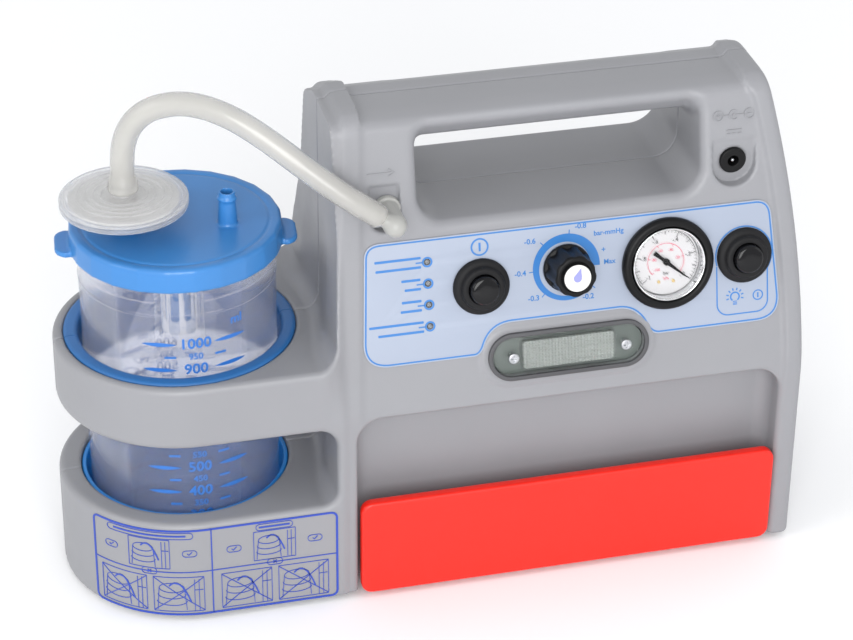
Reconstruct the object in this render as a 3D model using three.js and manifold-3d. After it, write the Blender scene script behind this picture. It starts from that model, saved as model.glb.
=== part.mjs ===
// Portable suction pump: battery aspirator with a 1000 ml jar carried in two ring seats at its left.
// Millimetres, +Z up, front facing -Y, origin at the middle of the footprint, on the surface it stands on.
// The two casing halves meet in one upright seam plane, which also holds the jar's axis.
import * as THREE from 'three';
import { mergeVertices } from 'three/addons/utils/BufferGeometryUtils.js';
import Module from 'manifold-3d';

const wasm = await Module();
wasm.setup();

// ---- driving dimensions -------------------------------------------------------------------------
const GAP = 0.3;                 // clearance left between pieces that touch
const ROUNDNESS = 0.66;          // share of the facets asked for on turned pieces
const SEAM_Y = 1.77;             // seam plane, in the part's frame
const RIGHT_END = 190;           // right end of the casing
const FOOT_HEIGHT = 2.2;
const BASE_Z = 2.5;              // underside of the casing
const WALL = 3;                  // casing wall

// End plates: the two side frames that stand proud of the front panel.
const PLATE_FRONT = 65.6;        // half depth at the foot
const PLATE_BEND_Z = 111.1;      // where the front starts to lean back
const PLATE_TOP_Z = 261.7;
const PANEL_FRONT = 64.2;        // half depth of the panel between the plates
const PANEL_BEND_Z = 108.3;
const PANEL_TILT = THREE.MathUtils.degToRad(12.7);
const HANDLE_TOP_Z = 258.5;
const LEFT_X = -57;              // left side of the casing, below the draft
const LEFT_DRAFT_Z = 130;
const RIGHT_CURVE_Z = 118;       // above this the right end curves in
const RIGHT_CURVE = 8.9e-4;      // how fast it curves, per millimetre

// Carry handle.
const GRIP_LEFT = -10;
const GRIP_RIGHT = 136.5;
const GRIP_FLOOR_Z = 205;
const GRIP_CEILING_Z = 240.5;

// Front recess and its red pocket front.
const RECESS_LEFT = -46.8;
const RECESS_RIGHT = 177.9;
const RECESS_TOP_Z = 108;
const RECESS_BACK = 47.5;
const POCKET_TOP_Z = 59.1;
const POCKET_FRONT = 67.1;
const POCKET_THICK = 6;

// Jar and its two seats.
const JAR_X = -124.6;
const JAR_R = 50;
const JAR_FOOT_R = 48.8;
const JAR_WALL = 2;
const JAR_FOOT_Z = 11.2;
const JAR_RIM_Z = 195.5;
const LOWER_SEAT_R = 65.4;
const LOWER_SEAT_TOP_Z = 60;
const UPPER_SEAT_R = 64.4;
const UPPER_SEAT_Z = 104.6;
const UPPER_SEAT_TOP_Z = 139.5;
const SEAT_BORE_R = 54;
const LINER_R = 51.5;
const LINER_FLANGE_R = 58.9;
const LINER_TOP_Z = 140;
const SCOOP_R = 72;              // the casing's left end is scooped out round the jar and its lid

// Lid, filter and float.
const LID_TOP_Z = 200.5;
const LID_SKIRT_Z = 188;
const LID_R = 53.8;
const LID_TURN = THREE.MathUtils.degToRad(-6.3);
const PATIENT_PORT = [-100, -10.3];
const VACUUM_PORT = [-150, -3];
const FILTER_R = 32;
const FILTER_Z = 212.5;
const FILTER_THICK = 7;
const SPIGOT_TOP_Z = 227;

// Hose: silicone, 12 mm outside.
const HOSE_R = 6;
const INLET = [-25.8, 214.1];    // x and z of the inlet fitting
const ELBOW_Y = -57;

// Panel fittings, as distance along the panel from its lower bend and along X.
const KNOB = [64.1, 68.6];
const GAUGE = [117, 64.6];
const POWER = [19.6, 64];
const LIGHT = [158, 63.9];
const LAMP = [63.8, 25];
const LED_X = -7.3;
const LED_ROWS = [79.8, 68.6, 57.5, 46.2];
const DC_SOCKET = [153.7, 218.4];

// ---- materials ----------------------------------------------------------------------------------
const paint = (color, roughness = 0.5, metalness = 0, opacity = 1) => new THREE.MeshStandardMaterial({
  color, roughness, metalness, opacity, transparent: opacity < 1,
});
const greyCasing = paint('#b9bac0', 0.45);
const paleLabel = paint('#bfc7db', 0.35);
const redPlastic = paint('#e8341f', 0.35);
const bluePlastic = paint('#3a7fd0', 0.35);
const blackPlastic = paint('#17181a', 0.3);
const blackRubber = paint('#1d1e20', 0.8);
const greyRubber = paint('#55575b', 0.8);
const clearPlastic = paint('#dfe6f2', 0.1, 0, 0.35);
const milkyPlastic = paint('#d8d9d5', 0.35, 0, 0.7);
const whitePlastic = paint('#e9e9e6', 0.4);
const steel = paint('#a9abae', 0.3, 1);
const chrome = paint('#d6d8da', 0.12, 1);
const brass = paint('#b99a4d', 0.35, 1);
const boardGreen = paint('#2d5a41', 0.6);

// ---- solid helpers ------------------------------------------------------------------------------
function bare(geometry) {
  const plain = geometry.clone();
  for (const key of Object.keys(plain.attributes)) {
    if (key !== 'position') plain.deleteAttribute(key);
  }
  return mergeVertices(plain, 1e-4);
}

function signedVolume(position, corners) {
  const [a, b, c] = [new THREE.Vector3(), new THREE.Vector3(), new THREE.Vector3()];
  let total = 0;
  for (let i = 0; i < corners.length; i += 3) {
    a.fromBufferAttribute(position, corners[i]);
    b.fromBufferAttribute(position, corners[i + 1]);
    c.fromBufferAttribute(position, corners[i + 2]);
    total += a.dot(b.cross(c)) / 6;
  }
  return total;
}

// A closed geometry as a solid, without the slivers that meet on an axis, facing outwards.
function solid(geometry) {
  const merged = bare(geometry);
  const index = merged.index.array;
  const corners = [];
  for (let i = 0; i < index.length; i += 3) {
    const [a, b, c] = [index[i], index[i + 1], index[i + 2]];
    if (a !== b && b !== c && c !== a) corners.push(a, b, c);
  }
  if (signedVolume(merged.attributes.position, corners) < 0) corners.reverse();
  return new wasm.Manifold(new wasm.Mesh({
    numProp: 3,
    vertProperties: new Float32Array(merged.attributes.position.array),
    triVerts: new Uint32Array(corners),
  }));
}

function geometryOf(body) {
  const found = body.getMesh();
  const geometry = new THREE.BufferGeometry();
  geometry.setAttribute('position', new THREE.BufferAttribute(new Float32Array(found.vertProperties), 3));
  geometry.setIndex(new THREE.BufferAttribute(new Uint32Array(found.triVerts), 1));
  geometry.computeVertexNormals();
  return geometry;
}

const joined = (first, ...others) => others.reduce((sum, other) => sum.add(other), first);
const cutBy = (first, ...others) => others.reduce((left, other) => left.subtract(other), first);

function block(x0, x1, y0, y1, z0, z1) {
  const geometry = new THREE.BoxGeometry(x1 - x0, y1 - y0, z1 - z0);
  return solid(geometry.translate((x0 + x1) / 2, (y0 + y1) / 2, (z0 + z1) / 2));
}

function polygon(points) {
  return new THREE.Shape(points.map(([a, b]) => new THREE.Vector2(a, b)));
}

function roundedRectangle(x0, x1, y0, y1, r) {
  const shape = new THREE.Shape();
  shape.moveTo(x0 + r, y0);
  shape.lineTo(x1 - r, y0);
  shape.absarc(x1 - r, y0 + r, r, -Math.PI / 2, 0);
  shape.lineTo(x1, y1 - r);
  shape.absarc(x1 - r, y1 - r, r, 0, Math.PI / 2);
  shape.lineTo(x0 + r, y1);
  shape.absarc(x0 + r, y1 - r, r, Math.PI / 2, Math.PI);
  shape.lineTo(x0, y0 + r);
  shape.absarc(x0 + r, y0 + r, r, Math.PI, 1.5 * Math.PI);
  return shape;
}

function disc(x, y, r) {
  const shape = new THREE.Shape();
  shape.absarc(x, y, r, 0, 2 * Math.PI);
  return shape;
}

function extrudeZ(shape, z0, z1, segments = 8) {
  const geometry = new THREE.ExtrudeGeometry(shape, {
    depth: z1 - z0, bevelEnabled: false, curveSegments: segments,
  });
  return geometry.translate(0, 0, z0);
}

// The shape's second coordinate becomes Z.
function extrudeY(shape, y0, y1, segments = 8) {
  return extrudeZ(shape, 0, y1 - y0, segments).rotateX(Math.PI / 2).translate(0, y1, 0);
}

// The shape's coordinates become Y and Z.
function extrudeX(shape, x0, x1, segments = 8) {
  const turn = new THREE.Matrix4().set(0, 0, 1, 0, 1, 0, 0, 0, 0, 1, 0, 0, 0, 0, 0, 1);
  return extrudeZ(shape, 0, x1 - x0, segments).applyMatrix4(turn).translate(x0, 0, 0);
}

// Turns a closed outline of [radius, height] points about the Z axis.
function turned(outline, segments = 48) {
  const points = outline.map(([r, z]) => new THREE.Vector2(r, z));
  return new THREE.LatheGeometry(points, Math.round(segments * ROUNDNESS)).rotateX(Math.PI / 2);
}

const ring = (inner, outer, z0, z1, segments = 48) => turned(
  [[inner, z0], [outer, z0], [outer, z1], [inner, z1], [inner, z0]], segments);
const rod = (r, z0, z1, segments = 20) => turned([[0, z0], [r, z0], [r, z1], [0, z1]], segments);

// ---- placing ------------------------------------------------------------------------------------
const pump = new THREE.Group();
pump.position.y = SEAM_Y;

// The panel's own frame: X along the panel, Y up it, Z out of it, from the bend at its foot.
const panel = new THREE.Group();
panel.position.set(0, -PANEL_FRONT, PANEL_BEND_Z);
panel.rotation.x = Math.PI / 2 - PANEL_TILT;
pump.add(panel);

function place(group, name, shape, material) {
  const geometry = shape instanceof wasm.Manifold ? geometryOf(shape) : geometryOf(solid(shape));
  const mesh = new THREE.Mesh(geometry, material);
  mesh.name = name;
  group.add(mesh);
  return mesh;
}

// A shape drawn in the panel's frame, as a solid in the casing's frame.
function onPanel(geometry) {
  panel.updateMatrix();
  return solid(geometry.applyMatrix4(panel.matrix));
}

// ---- casing -------------------------------------------------------------------------------------
const panelY = (z) => PANEL_FRONT - Math.max(0, z - PANEL_BEND_Z) * Math.tan(PANEL_TILT);
const rightCurve = (x, z) => x - RIGHT_CURVE * Math.max(0, z - RIGHT_CURVE_Z) ** 2;
const mirrored = (half) => [...half.map(([y, z]) => [-y, z]), ...[...half].reverse()];

// Half of a side outline, from the underside to the crown, drawn in by the wall on request.
function sideOutline(front, bendZ, topZ, inset = 0) {
  const lean = (z) => front - (z - bendZ) * Math.tan(PANEL_TILT) - inset;
  return mirrored([
    [front - 3 - inset, BASE_Z + inset],
    [front - inset, BASE_Z + 3 + inset],
    [front - inset, bendZ],
    [lean(topZ - 10), topZ - 10],
    [lean(topZ - 5) - 2, topZ - 4.5],
    [lean(topZ) - 8, topZ - 1.2 - inset / 2],
    [12, topZ - inset],
  ]);
}

const HEIGHTS = [PLATE_TOP_Z - 12, 235, 215, 195, 175, 150, RIGHT_CURVE_Z];
const LEFT_OUTER = [[LEFT_X, BASE_Z], [LEFT_X, LEFT_DRAFT_Z], [-48.4, 252], [-47, 258], [-44, PLATE_TOP_Z]];
const LEFT_INNER = [[-35.5, PLATE_TOP_Z], [-33, HANDLE_TOP_Z - 1], [-38.5, 252], [-46, LEFT_DRAFT_Z],
  [-47.2, BASE_Z]];
const RIGHT_OUTER = [[161.6, PLATE_TOP_Z], [166.5, 260.3], [170, 257],
  ...HEIGHTS.map((z) => [rightCurve(RIGHT_END, z), z]), [RIGHT_END, BASE_Z + 3], [RIGHT_END - 3, BASE_Z]];
const RIGHT_INNER = [[180, BASE_Z], ...[...HEIGHTS].reverse().map((z) => [rightCurve(181, z), z]),
  [160, HANDLE_TOP_Z - 1]];

const DEEP = 80;                 // further than the casing reaches front or back
const plateSides = solid(extrudeX(polygon(sideOutline(PLATE_FRONT, PLATE_BEND_Z, PLATE_TOP_Z)), -80, 200));
const panelSides = solid(extrudeX(polygon(sideOutline(PANEL_FRONT, PANEL_BEND_Z, HANDLE_TOP_Z)), -80, 200));
const leftPlate = solid(extrudeY(polygon([...LEFT_OUTER, ...LEFT_INNER]), -DEEP, DEEP)).intersect(plateSides);
const rightPlate = solid(extrudeY(polygon([...RIGHT_OUTER, ...RIGHT_INNER]), -DEEP, DEEP)).intersect(plateSides);
const middle = block(-54, 182, -DEEP, DEEP, BASE_Z, 300)
  .intersect(solid(extrudeY(polygon([...LEFT_OUTER, ...RIGHT_OUTER]), -DEEP, DEEP)))
  .intersect(panelSides);

// A ring seat's plan: half round about the jar, straight back to the casing.
function seatPlan(r) {
  const shape = new THREE.Shape();
  shape.moveTo(LEFT_X + 4, -r);
  shape.lineTo(LEFT_X + 4, r);
  shape.lineTo(JAR_X, r);
  shape.absarc(JAR_X, 0, r, Math.PI / 2, 1.5 * Math.PI);
  return shape;
}

function seat(r, z0, z1, soft) {
  return joined(
    solid(extrudeZ(seatPlan(r), z0, z1 - soft, 14)),
    solid(extrudeZ(seatPlan(r - soft * 0.6), z1 - soft - 0.01, z1, 14)),
  );
}

const jarBore = (r, z0, z1) => solid(rod(r, z0, z1, 36).translate(JAR_X, 0, 0));

// The grip: a tunnel with round corners that flares out to both faces.
function gripTunnel(grow = 0) {
  const rings = [
    [-46, 5, 4.5, 31], [-38, 0.5, 0.4, 21], [-20, 0, 0, 0], [20, 0, 0, 0], [38, 0.5, 0.4, 21], [46, 5, 4.5, 31],
  ];
  const CORNER_STEPS = 4;
  const position = [];
  for (const [y, aside, below, above] of rings) {
    const [x0, x1] = [GRIP_LEFT - aside - grow, GRIP_RIGHT + aside + grow];
    const [z0, z1] = [GRIP_FLOOR_Z - below - grow, GRIP_CEILING_Z + above + grow];
    const r = 12 + grow;
    const corners = [[x1 - r, z0 + r, -90], [x1 - r, z1 - r, 0], [x0 + r, z1 - r, 90], [x0 + r, z0 + r, 180]];
    for (const [cx, cz, from] of corners) {
      for (let i = 0; i <= CORNER_STEPS; i += 1) {
        const angle = THREE.MathUtils.degToRad(from + (90 * i) / CORNER_STEPS);
        position.push(cx + r * Math.cos(angle), y, cz + r * Math.sin(angle));
      }
    }
  }
  const count = 4 * (CORNER_STEPS + 1);
  const index = [];
  for (let k = 0; k + 1 < rings.length; k += 1) {
    for (let i = 0; i < count; i += 1) {
      const [a, b] = [k * count + i, k * count + ((i + 1) % count)];
      index.push(a, b, a + count, b, b + count, a + count);
    }
  }
  const last = (rings.length - 1) * count;
  for (let i = 1; i + 1 < count; i += 1) {
    index.push(0, i + 1, i, last, last + i, last + i + 1);
  }
  const geometry = new THREE.BufferGeometry();
  geometry.setAttribute('position', new THREE.Float32BufferAttribute(position, 3));
  geometry.setIndex(index);
  return solid(geometry);
}

const recess = solid(extrudeY(
  roundedRectangle(RECESS_LEFT, RECESS_RIGHT, -20, RECESS_TOP_Z, 13), -DEEP, -RECESS_BACK, 6));

// A socket recess: flat top, round foot, its floor upright so that it is deepest at the foot.
function socketRecess(x, halfWidth, topZ, footZ, floorY) {
  const shape = new THREE.Shape();
  shape.moveTo(x + halfWidth, topZ);
  shape.lineTo(x - halfWidth, topZ);
  shape.lineTo(x - halfWidth, footZ + halfWidth);
  shape.absarc(x, footZ + halfWidth, halfWidth, Math.PI, 2 * Math.PI);
  return solid(extrudeY(shape, -DEEP, -floorY, 8));
}

const DC_FLOOR = 36.2;
const INLET_FLOOR = 36.6;
const dcRecess = socketRecess(153.7, 11.3, 230.3, 206, DC_FLOOR);
const inletRecess = socketRecess(-27.2, 7.8, 226.2, 203, INLET_FLOOR);

// The hollow inside: the casing's own outline drawn in, clear of the grip and the recess.
const inner = solid(extrudeX(polygon(sideOutline(PANEL_FRONT, PANEL_BEND_Z, HANDLE_TOP_Z, WALL)), -80, 200));
const innerEnds = solid(extrudeY(polygon([
  [LEFT_X + 4, BASE_Z + 3.5], [LEFT_X + 4, LEFT_DRAFT_Z], [-45, 250], [160, 250], [168, 235],
  [rightCurve(RIGHT_END - 4, 200), 200], [rightCurve(RIGHT_END - 4, 160), 160], [RIGHT_END - 4, RIGHT_CURVE_Z],
  [RIGHT_END - 4, BASE_Z + 3.5],
]), -DEEP, DEEP));
const hollow = cutBy(
  inner.intersect(innerEnds),
  block(GRIP_LEFT - 8, GRIP_RIGHT + 7, -DEEP, DEEP, GRIP_FLOOR_Z - 6, 300),
  block(RECESS_LEFT - 3, RECESS_RIGHT + 3, -DEEP, -RECESS_BACK + WALL, -10, RECESS_TOP_Z + 3),
  socketRecess(153.7, 14, 240, 203, DC_FLOOR - WALL),
  socketRecess(-27.2, 10.5, 240, 200, INLET_FLOOR - WALL),
  jarBore(SCOOP_R + WALL, BASE_Z, 300),
);

// Screw bosses: one pair low, one pair high, each a pillar from the rear wall into the front half.
const BOSSES = [[-44, 17, 50, 66], [176, 17, 50, 66], [-38, 187, 34, 48], [162, 187, 34, 48]];
const BOSS_R = 6.5;
const alongY = (r, y0, y1, x, z, segments = 14) => rod(r, y0, y1, segments)
  .rotateX(-Math.PI / 2).translate(x, 0, z);
const bosses = BOSSES.map(([x, z, , out]) => solid(alongY(BOSS_R, -46, out - 2, x, z)));
const bossHoles = BOSSES.flatMap(([x, z, seatY, out]) => [
  solid(alongY(1.9, -20, seatY + 1, x, z, 8)),
  solid(alongY(4.2, seatY, out + 8, x, z)),
]);

const vents = [0, 1, 2, 3, 4].map((i) => solid(extrudeY(
  roundedRectangle(-26 + i * 9, -22 + i * 9, 62, 98, 1.9), 50, DEEP, 2)));
const DOOR = [62, 172, 12, 96];
const doorSeat = solid(extrudeY(roundedRectangle(DOOR[0], DOOR[1], DOOR[2], DOOR[3], 6),
  PANEL_FRONT - 2, DEEP, 5));

const stadium = (halfLength, halfHeight) => roundedRectangle(
  LAMP[0] - halfLength, LAMP[0] + halfLength, LAMP[1] - halfHeight, LAMP[1] + halfHeight, halfHeight - 0.01);
const through = (shape, segments = 20) => onPanel(extrudeZ(shape, -12, 8, segments));
const panelHoles = [
  through(disc(...POWER, 11.4)),
  through(disc(...LIGHT, 11.4)),
  through(disc(...KNOB, 4.4)),
  through(disc(...GAUGE, 19.8)),
  through(stadium(40, 10.5), 6),
  ...LED_ROWS.map((v) => through(disc(LED_X, v, 1.9), 8)),
];

const SEAT_FLOOR_Z = 8.2;
let casing = joined(
  joined(middle, leftPlate, rightPlate).subtract(jarBore(SCOOP_R, LOWER_SEAT_TOP_Z - 10, 300)),
  seat(LOWER_SEAT_R, BASE_Z, LOWER_SEAT_TOP_Z, 3.5),
  seat(UPPER_SEAT_R, UPPER_SEAT_Z, UPPER_SEAT_TOP_Z, 3));
casing = joined(cutBy(casing, hollow), ...bosses.map((boss) => boss.intersect(middle)));
casing = cutBy(casing,
  gripTunnel(), recess, dcRecess, inletRecess, doorSeat,
  jarBore(SEAT_BORE_R, SEAT_FLOOR_Z, 90),
  jarBore(53.4, 95, 170),
  jarBore(LINER_FLANGE_R + GAP, LINER_TOP_Z - 2.6, 170),
  solid(alongY(6.8, -DEEP, -20, DC_SOCKET[0], DC_SOCKET[1])),
  solid(alongY(4.6, -DEEP, -20, INLET[0], INLET[1])),
  ...vents, ...bossHoles, ...panelHoles);

place(pump, 'front_shell', casing.intersect(block(-300, 300, -200, -GAP / 2, -10, 400)), greyCasing);
place(pump, 'rear_shell', casing.intersect(block(-300, 300, GAP / 2, 200, -10, 400)), greyCasing);

// ---- feet, screws, rear door --------------------------------------------------------------------
const FEET = [[-160, -36], [-160, 36], [172, -36], [172, 46]];
FEET.forEach(([x, y], i) => place(pump, `foot_${i + 1}`,
  turned([[0, 0], [6.5, 0], [7.5, FOOT_HEIGHT], [0, FOOT_HEIGHT]], 24).translate(x, y, 0), greyRubber));

BOSSES.forEach(([x, z, seatY], i) => {
  const head = turned([[0, -18], [1.5, -18], [1.5, seatY + 1.2], [3.7, seatY + 1.2], [3.7, seatY + 3.6],
    [0, seatY + 4]], 10);
  place(pump, `casing_screw_${i + 1}`, head.rotateX(-Math.PI / 2).translate(x, 0, z), steel);
});

const REAR_FACE = 67.1;
place(pump, 'battery_door', cutBy(
  solid(extrudeY(roundedRectangle(DOOR[0] + GAP, DOOR[1] - GAP, DOOR[2] + GAP, DOOR[3] - GAP, 5.7),
    PANEL_FRONT - 2 + GAP, REAR_FACE, 5)),
  solid(extrudeY(roundedRectangle(105, 129, 82, 89, 3.4), REAR_FACE - 1.4, DEEP, 4)),
), greyCasing);

// ---- red pocket front ---------------------------------------------------------------------------
const POCKET_LEFT = -45.3;
const POCKET_RIGHT = RECESS_RIGHT - 0.4;
const POCKET_FOOT_Z = 3.3;
place(pump, 'catheter_pocket', joined(
  solid(extrudeY(roundedRectangle(POCKET_LEFT, POCKET_RIGHT, POCKET_FOOT_Z, POCKET_TOP_Z, 5),
    -POCKET_FRONT, -POCKET_FRONT + POCKET_THICK, 5)),
  block(POCKET_LEFT + 6, POCKET_RIGHT - 6, -POCKET_FRONT + POCKET_THICK - 1, -RECESS_BACK - GAP,
    POCKET_FOOT_Z + 0.6, POCKET_FOOT_Z + 3.4),
), redPlastic);

// ---- control panel ------------------------------------------------------------------------------
// The printed overlay: round corners, its lower edge arched over the lamp.
function overlayOutline() {
  const shape = new THREE.Shape();
  shape.moveTo(-29.5, 27.3);
  shape.lineTo(15, 27.3);
  shape.quadraticCurveTo(18.6, 27.6, 20.4, 33);
  shape.quadraticCurveTo(24, 43, 35, 43.1);
  shape.lineTo(91.5, 43.1);
  shape.quadraticCurveTo(100.5, 42.6, 105, 33);
  shape.quadraticCurveTo(107.5, 27.6, 112, 27.3);
  shape.lineTo(165, 27.3);
  shape.quadraticCurveTo(177, 27.8, 176.8, 40);
  shape.lineTo(173, 84);
  shape.quadraticCurveTo(172, 91.6, 165, 92);
  shape.lineTo(-31.5, 92);
  shape.quadraticCurveTo(-39, 91.6, -39.2, 84);
  shape.lineTo(-41.7, 40);
  shape.quadraticCurveTo(-41.8, 28, -29.5, 27.3);
  return shape;
}
const OVERLAY_TOP = 0.7;
const overHole = (place2d, r, segments = 20) => solid(extrudeZ(disc(...place2d, r), -2, 4, segments));
place(panel, 'control_panel_overlay', cutBy(
  solid(extrudeZ(overlayOutline(), GAP, OVERLAY_TOP, 4)),
  overHole(POWER, 11.6), overHole(LIGHT, 11.6), overHole(KNOB, 4.6), overHole(GAUGE, 20),
  ...LED_ROWS.map((v) => overHole([LED_X, v], 1.7, 8)),
), paleLabel);

LED_ROWS.forEach((v, i) => place(panel, `status_lamp_${i + 1}`,
  turned([[0, -8.8], [1.4, -8.8], [1.4, 0.2], [0, 1]], 8).translate(LED_X, v, 0), milkyPlastic));
place(panel, 'status_board', extrudeZ(roundedRectangle(LED_X - 12, LED_X + 9, 38, 88, 1), -10.7, -9.1, 2),
  boardGreen);

// Two push switches: a fixed collar, a cap that travels, and the switch body behind.
function pushSwitch(name, [x, v]) {
  const collar = [[7.9, -13], [11, -13], [11, 1], [14.6, 1], [14.6, 2.4], [13.4, 3.6], [11.2, 4], [10.9, 6.6],
    [10.2, 7.2], [7.9, 7.2], [7.9, -13]];
  place(panel, `${name}_collar`, turned(collar, 24).translate(x, v, 0), blackRubber);
  place(panel, `${name}_button`,
    turned([[0, -1.5], [7.5, -1.5], [7.5, 9.6], [6.9, 10.5], [5, 10.9], [0, 11]], 20).translate(x, v, 0),
    blackPlastic);
  place(panel, `${name}_switch_body`, rod(7.3, -28, -4.6, 20).translate(x, v, 0), blackPlastic);
}
pushSwitch('power', POWER);
pushSwitch('light', LIGHT);

// Vacuum regulator: valve body, turning stem, fluted knob and its white cap.
place(panel, 'regulator_valve', rod(10.5, -34, -6.5, 6).translate(...KNOB, 0), brass);
place(panel, 'regulator_stem', rod(2.9, -6.2, 13.4, 14).translate(...KNOB, 0), steel);
const KNOB_FOOT = 1.4;
const KNOB_TOP = 18.6;
const flutes = Array.from({ length: 9 }, (_, i) => {
  const angle = (i * 2 * Math.PI) / 9;
  return solid(rod(3.1, 3.2, 30, 8).translate(
    KNOB[0] + 13.4 * Math.cos(angle), KNOB[1] + 13.4 * Math.sin(angle), 0));
});
place(panel, 'regulator_knob', cutBy(
  solid(turned([[0, KNOB_FOOT], [12.4, KNOB_FOOT], [12.4, 3.4], [11.6, 4.2], [10.6, KNOB_TOP - 0.8],
    [9.8, KNOB_TOP], [0, KNOB_TOP]], 36).translate(...KNOB, 0)),
  solid(rod(3.2, 0, 13.8, 20).translate(...KNOB, 0)),
  ...flutes), blackPlastic);
place(panel, 'knob_cap', rod(7.3, KNOB_TOP + GAP, KNOB_TOP + 1.8, 32).translate(...KNOB, 0), whitePlastic);

// Vacuum gauge.
const gaugePart = (name, geometry, material) => place(panel, name, geometry.translate(...GAUGE, 0), material);
gaugePart('gauge_bezel', turned([[19.7, 1], [24.1, 1], [24.1, 3.4], [23, 5], [20.6, 5.2], [19.7, 4.4],
  [19.7, 1]], 32), blackPlastic);
gaugePart('gauge_case', turned([[0, -22], [19.2, -22], [19.4, 4.4], [18.6, 5.2], [17.9, 4.4], [17.9, -2.4],
  [0, -2.4]], 28), chrome);
gaugePart('gauge_dial', rod(17.5, -2, -1.4, 28), whitePlastic);
gaugePart('gauge_glass', rod(17.5, 2.4, 3.4, 28), clearPlastic);
const NEEDLE_REST = THREE.MathUtils.degToRad(-40.7);
const needleOutline = polygon([[14.3, -0.15], [14.3, 0.15], [1.7, 0.6], [-8, 1.1], [-8.6, 0], [-8, -1.1],
  [1.7, -0.6]]);
gaugePart('gauge_needle', geometryOf(joined(
  solid(extrudeZ(needleOutline, 0, 0.5)), solid(rod(1.7, -0.9, 1.2, 16)),
)).rotateZ(NEEDLE_REST), blackPlastic);

// Work lamp.
const LAMP_SCREWS = [-29.6, 29.6];
const lampHole = (r, z0, z1) => LAMP_SCREWS.map((dx) => solid(
  rod(r, z0, z1, 12).translate(LAMP[0] + dx, LAMP[1], 0)));
place(panel, 'lamp_gasket', cutBy(
  solid(extrudeZ(stadium(42.2, 12.6), 1, 3.2, 6)), solid(extrudeZ(stadium(39.9, 10.3), 0, 9, 6)),
), blackRubber);
place(panel, 'lamp_lens', cutBy(
  joined(solid(extrudeZ(stadium(39.6, 10), -1.2, 3.6, 6)), solid(extrudeZ(stadium(38.4, 8.8), 3.5, 4.8, 6))),
  ...lampHole(1.8, -3, 9), ...lampHole(3.1, 3.4, 9)), clearPlastic);
place(panel, 'lamp_base', cutBy(
  solid(extrudeZ(stadium(39.6, 10), -9, -1.5, 6)), ...lampHole(1.8, -7, 9)), boardGreen);
LAMP_SCREWS.forEach((dx, i) => place(panel, `lamp_screw_${i + 1}`,
  turned([[0, -6.6], [1.5, -6.6], [1.5, 3.7], [2.8, 3.7], [2.8, 5], [0, 5.3]], 10)
    .translate(LAMP[0] + dx, LAMP[1], 0), chrome));

// ---- low-voltage inlet and hose inlet -----------------------------------------------------------
const dcFace = -DC_FLOOR - 1.7;
place(pump, 'dc_socket', cutBy(
  solid(turned([[0, -20], [6.4, -20], [6.4, -dcFace - 1.4], [6.9, -dcFace - 0.9], [6.4, -dcFace], [0, -dcFace]], 32)
    .rotateX(Math.PI / 2).translate(DC_SOCKET[0], 0, DC_SOCKET[1])),
  solid(alongY(2.9, dcFace - 2, dcFace + 9, ...DC_SOCKET)),
).intersect(block(100, 200, -60, -21, 150, 260)), blackPlastic);
place(pump, 'dc_pin', alongY(0.9, dcFace + 0.5, dcFace + 8.6, DC_SOCKET[0], DC_SOCKET[1], 10), steel);

// The hose's route in the casing's frame, from the filter up and over to the inlet.
const ROUTE = [
  [-150, -3, 227.3], [-149.8, -3, 236.5], [-148.8, -3, 245.5], [-146, -3.6, 254], [-141, -5.4, 261.3],
  [-133.2, -8.6, 267], [-122, -13.6, 270.2], [-110.6, -19.8, 269.8], [-99.6, -26.2, 266.3],
  [-91, -31, 261.6], [-82.8, -35.4, 256], [-74.4, -39.8, 249.6], [-66, -44, 243], [-57.4, -47.8, 236.3],
  [-48.7, -50.9, 229.8], [-40.8, -53, 224.4],
].map(([x, y, z]) => new THREE.Vector3(x, y, z));
const hoseEnd = ROUTE[ROUTE.length - 1];
const elbowCorner = new THREE.Vector3(INLET[0], ELBOW_Y, INLET[1]);
const towardsHose = hoseEnd.clone().sub(elbowCorner);
const elbowReach = towardsHose.length() - GAP;
const arm = rod(HOSE_R, 0, elbowReach, 20).applyQuaternion(
  new THREE.Quaternion().setFromUnitVectors(new THREE.Vector3(0, 0, 1), towardsHose.clone().normalize()));
place(pump, 'inlet_elbow', joined(
  solid(alongY(HOSE_R, ELBOW_Y, -INLET_FLOOR - GAP, ...INLET, 20)),
  solid(alongY(4.2, -INLET_FLOOR - 1, -27, ...INLET, 20)),
  solid(arm.translate(elbowCorner.x, elbowCorner.y, elbowCorner.z)),
  solid(new THREE.SphereGeometry(HOSE_R, 20, 10).translate(elbowCorner.x, elbowCorner.y, elbowCorner.z)),
), milkyPlastic);

const hosePath = new THREE.CatmullRomCurve3(ROUTE);
place(pump, 'hose', new THREE.ExtrudeGeometry(disc(0, 0, HOSE_R), {
  steps: 15, curveSegments: 8, extrudePath: hosePath, bevelEnabled: false,
}), milkyPlastic);

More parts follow.
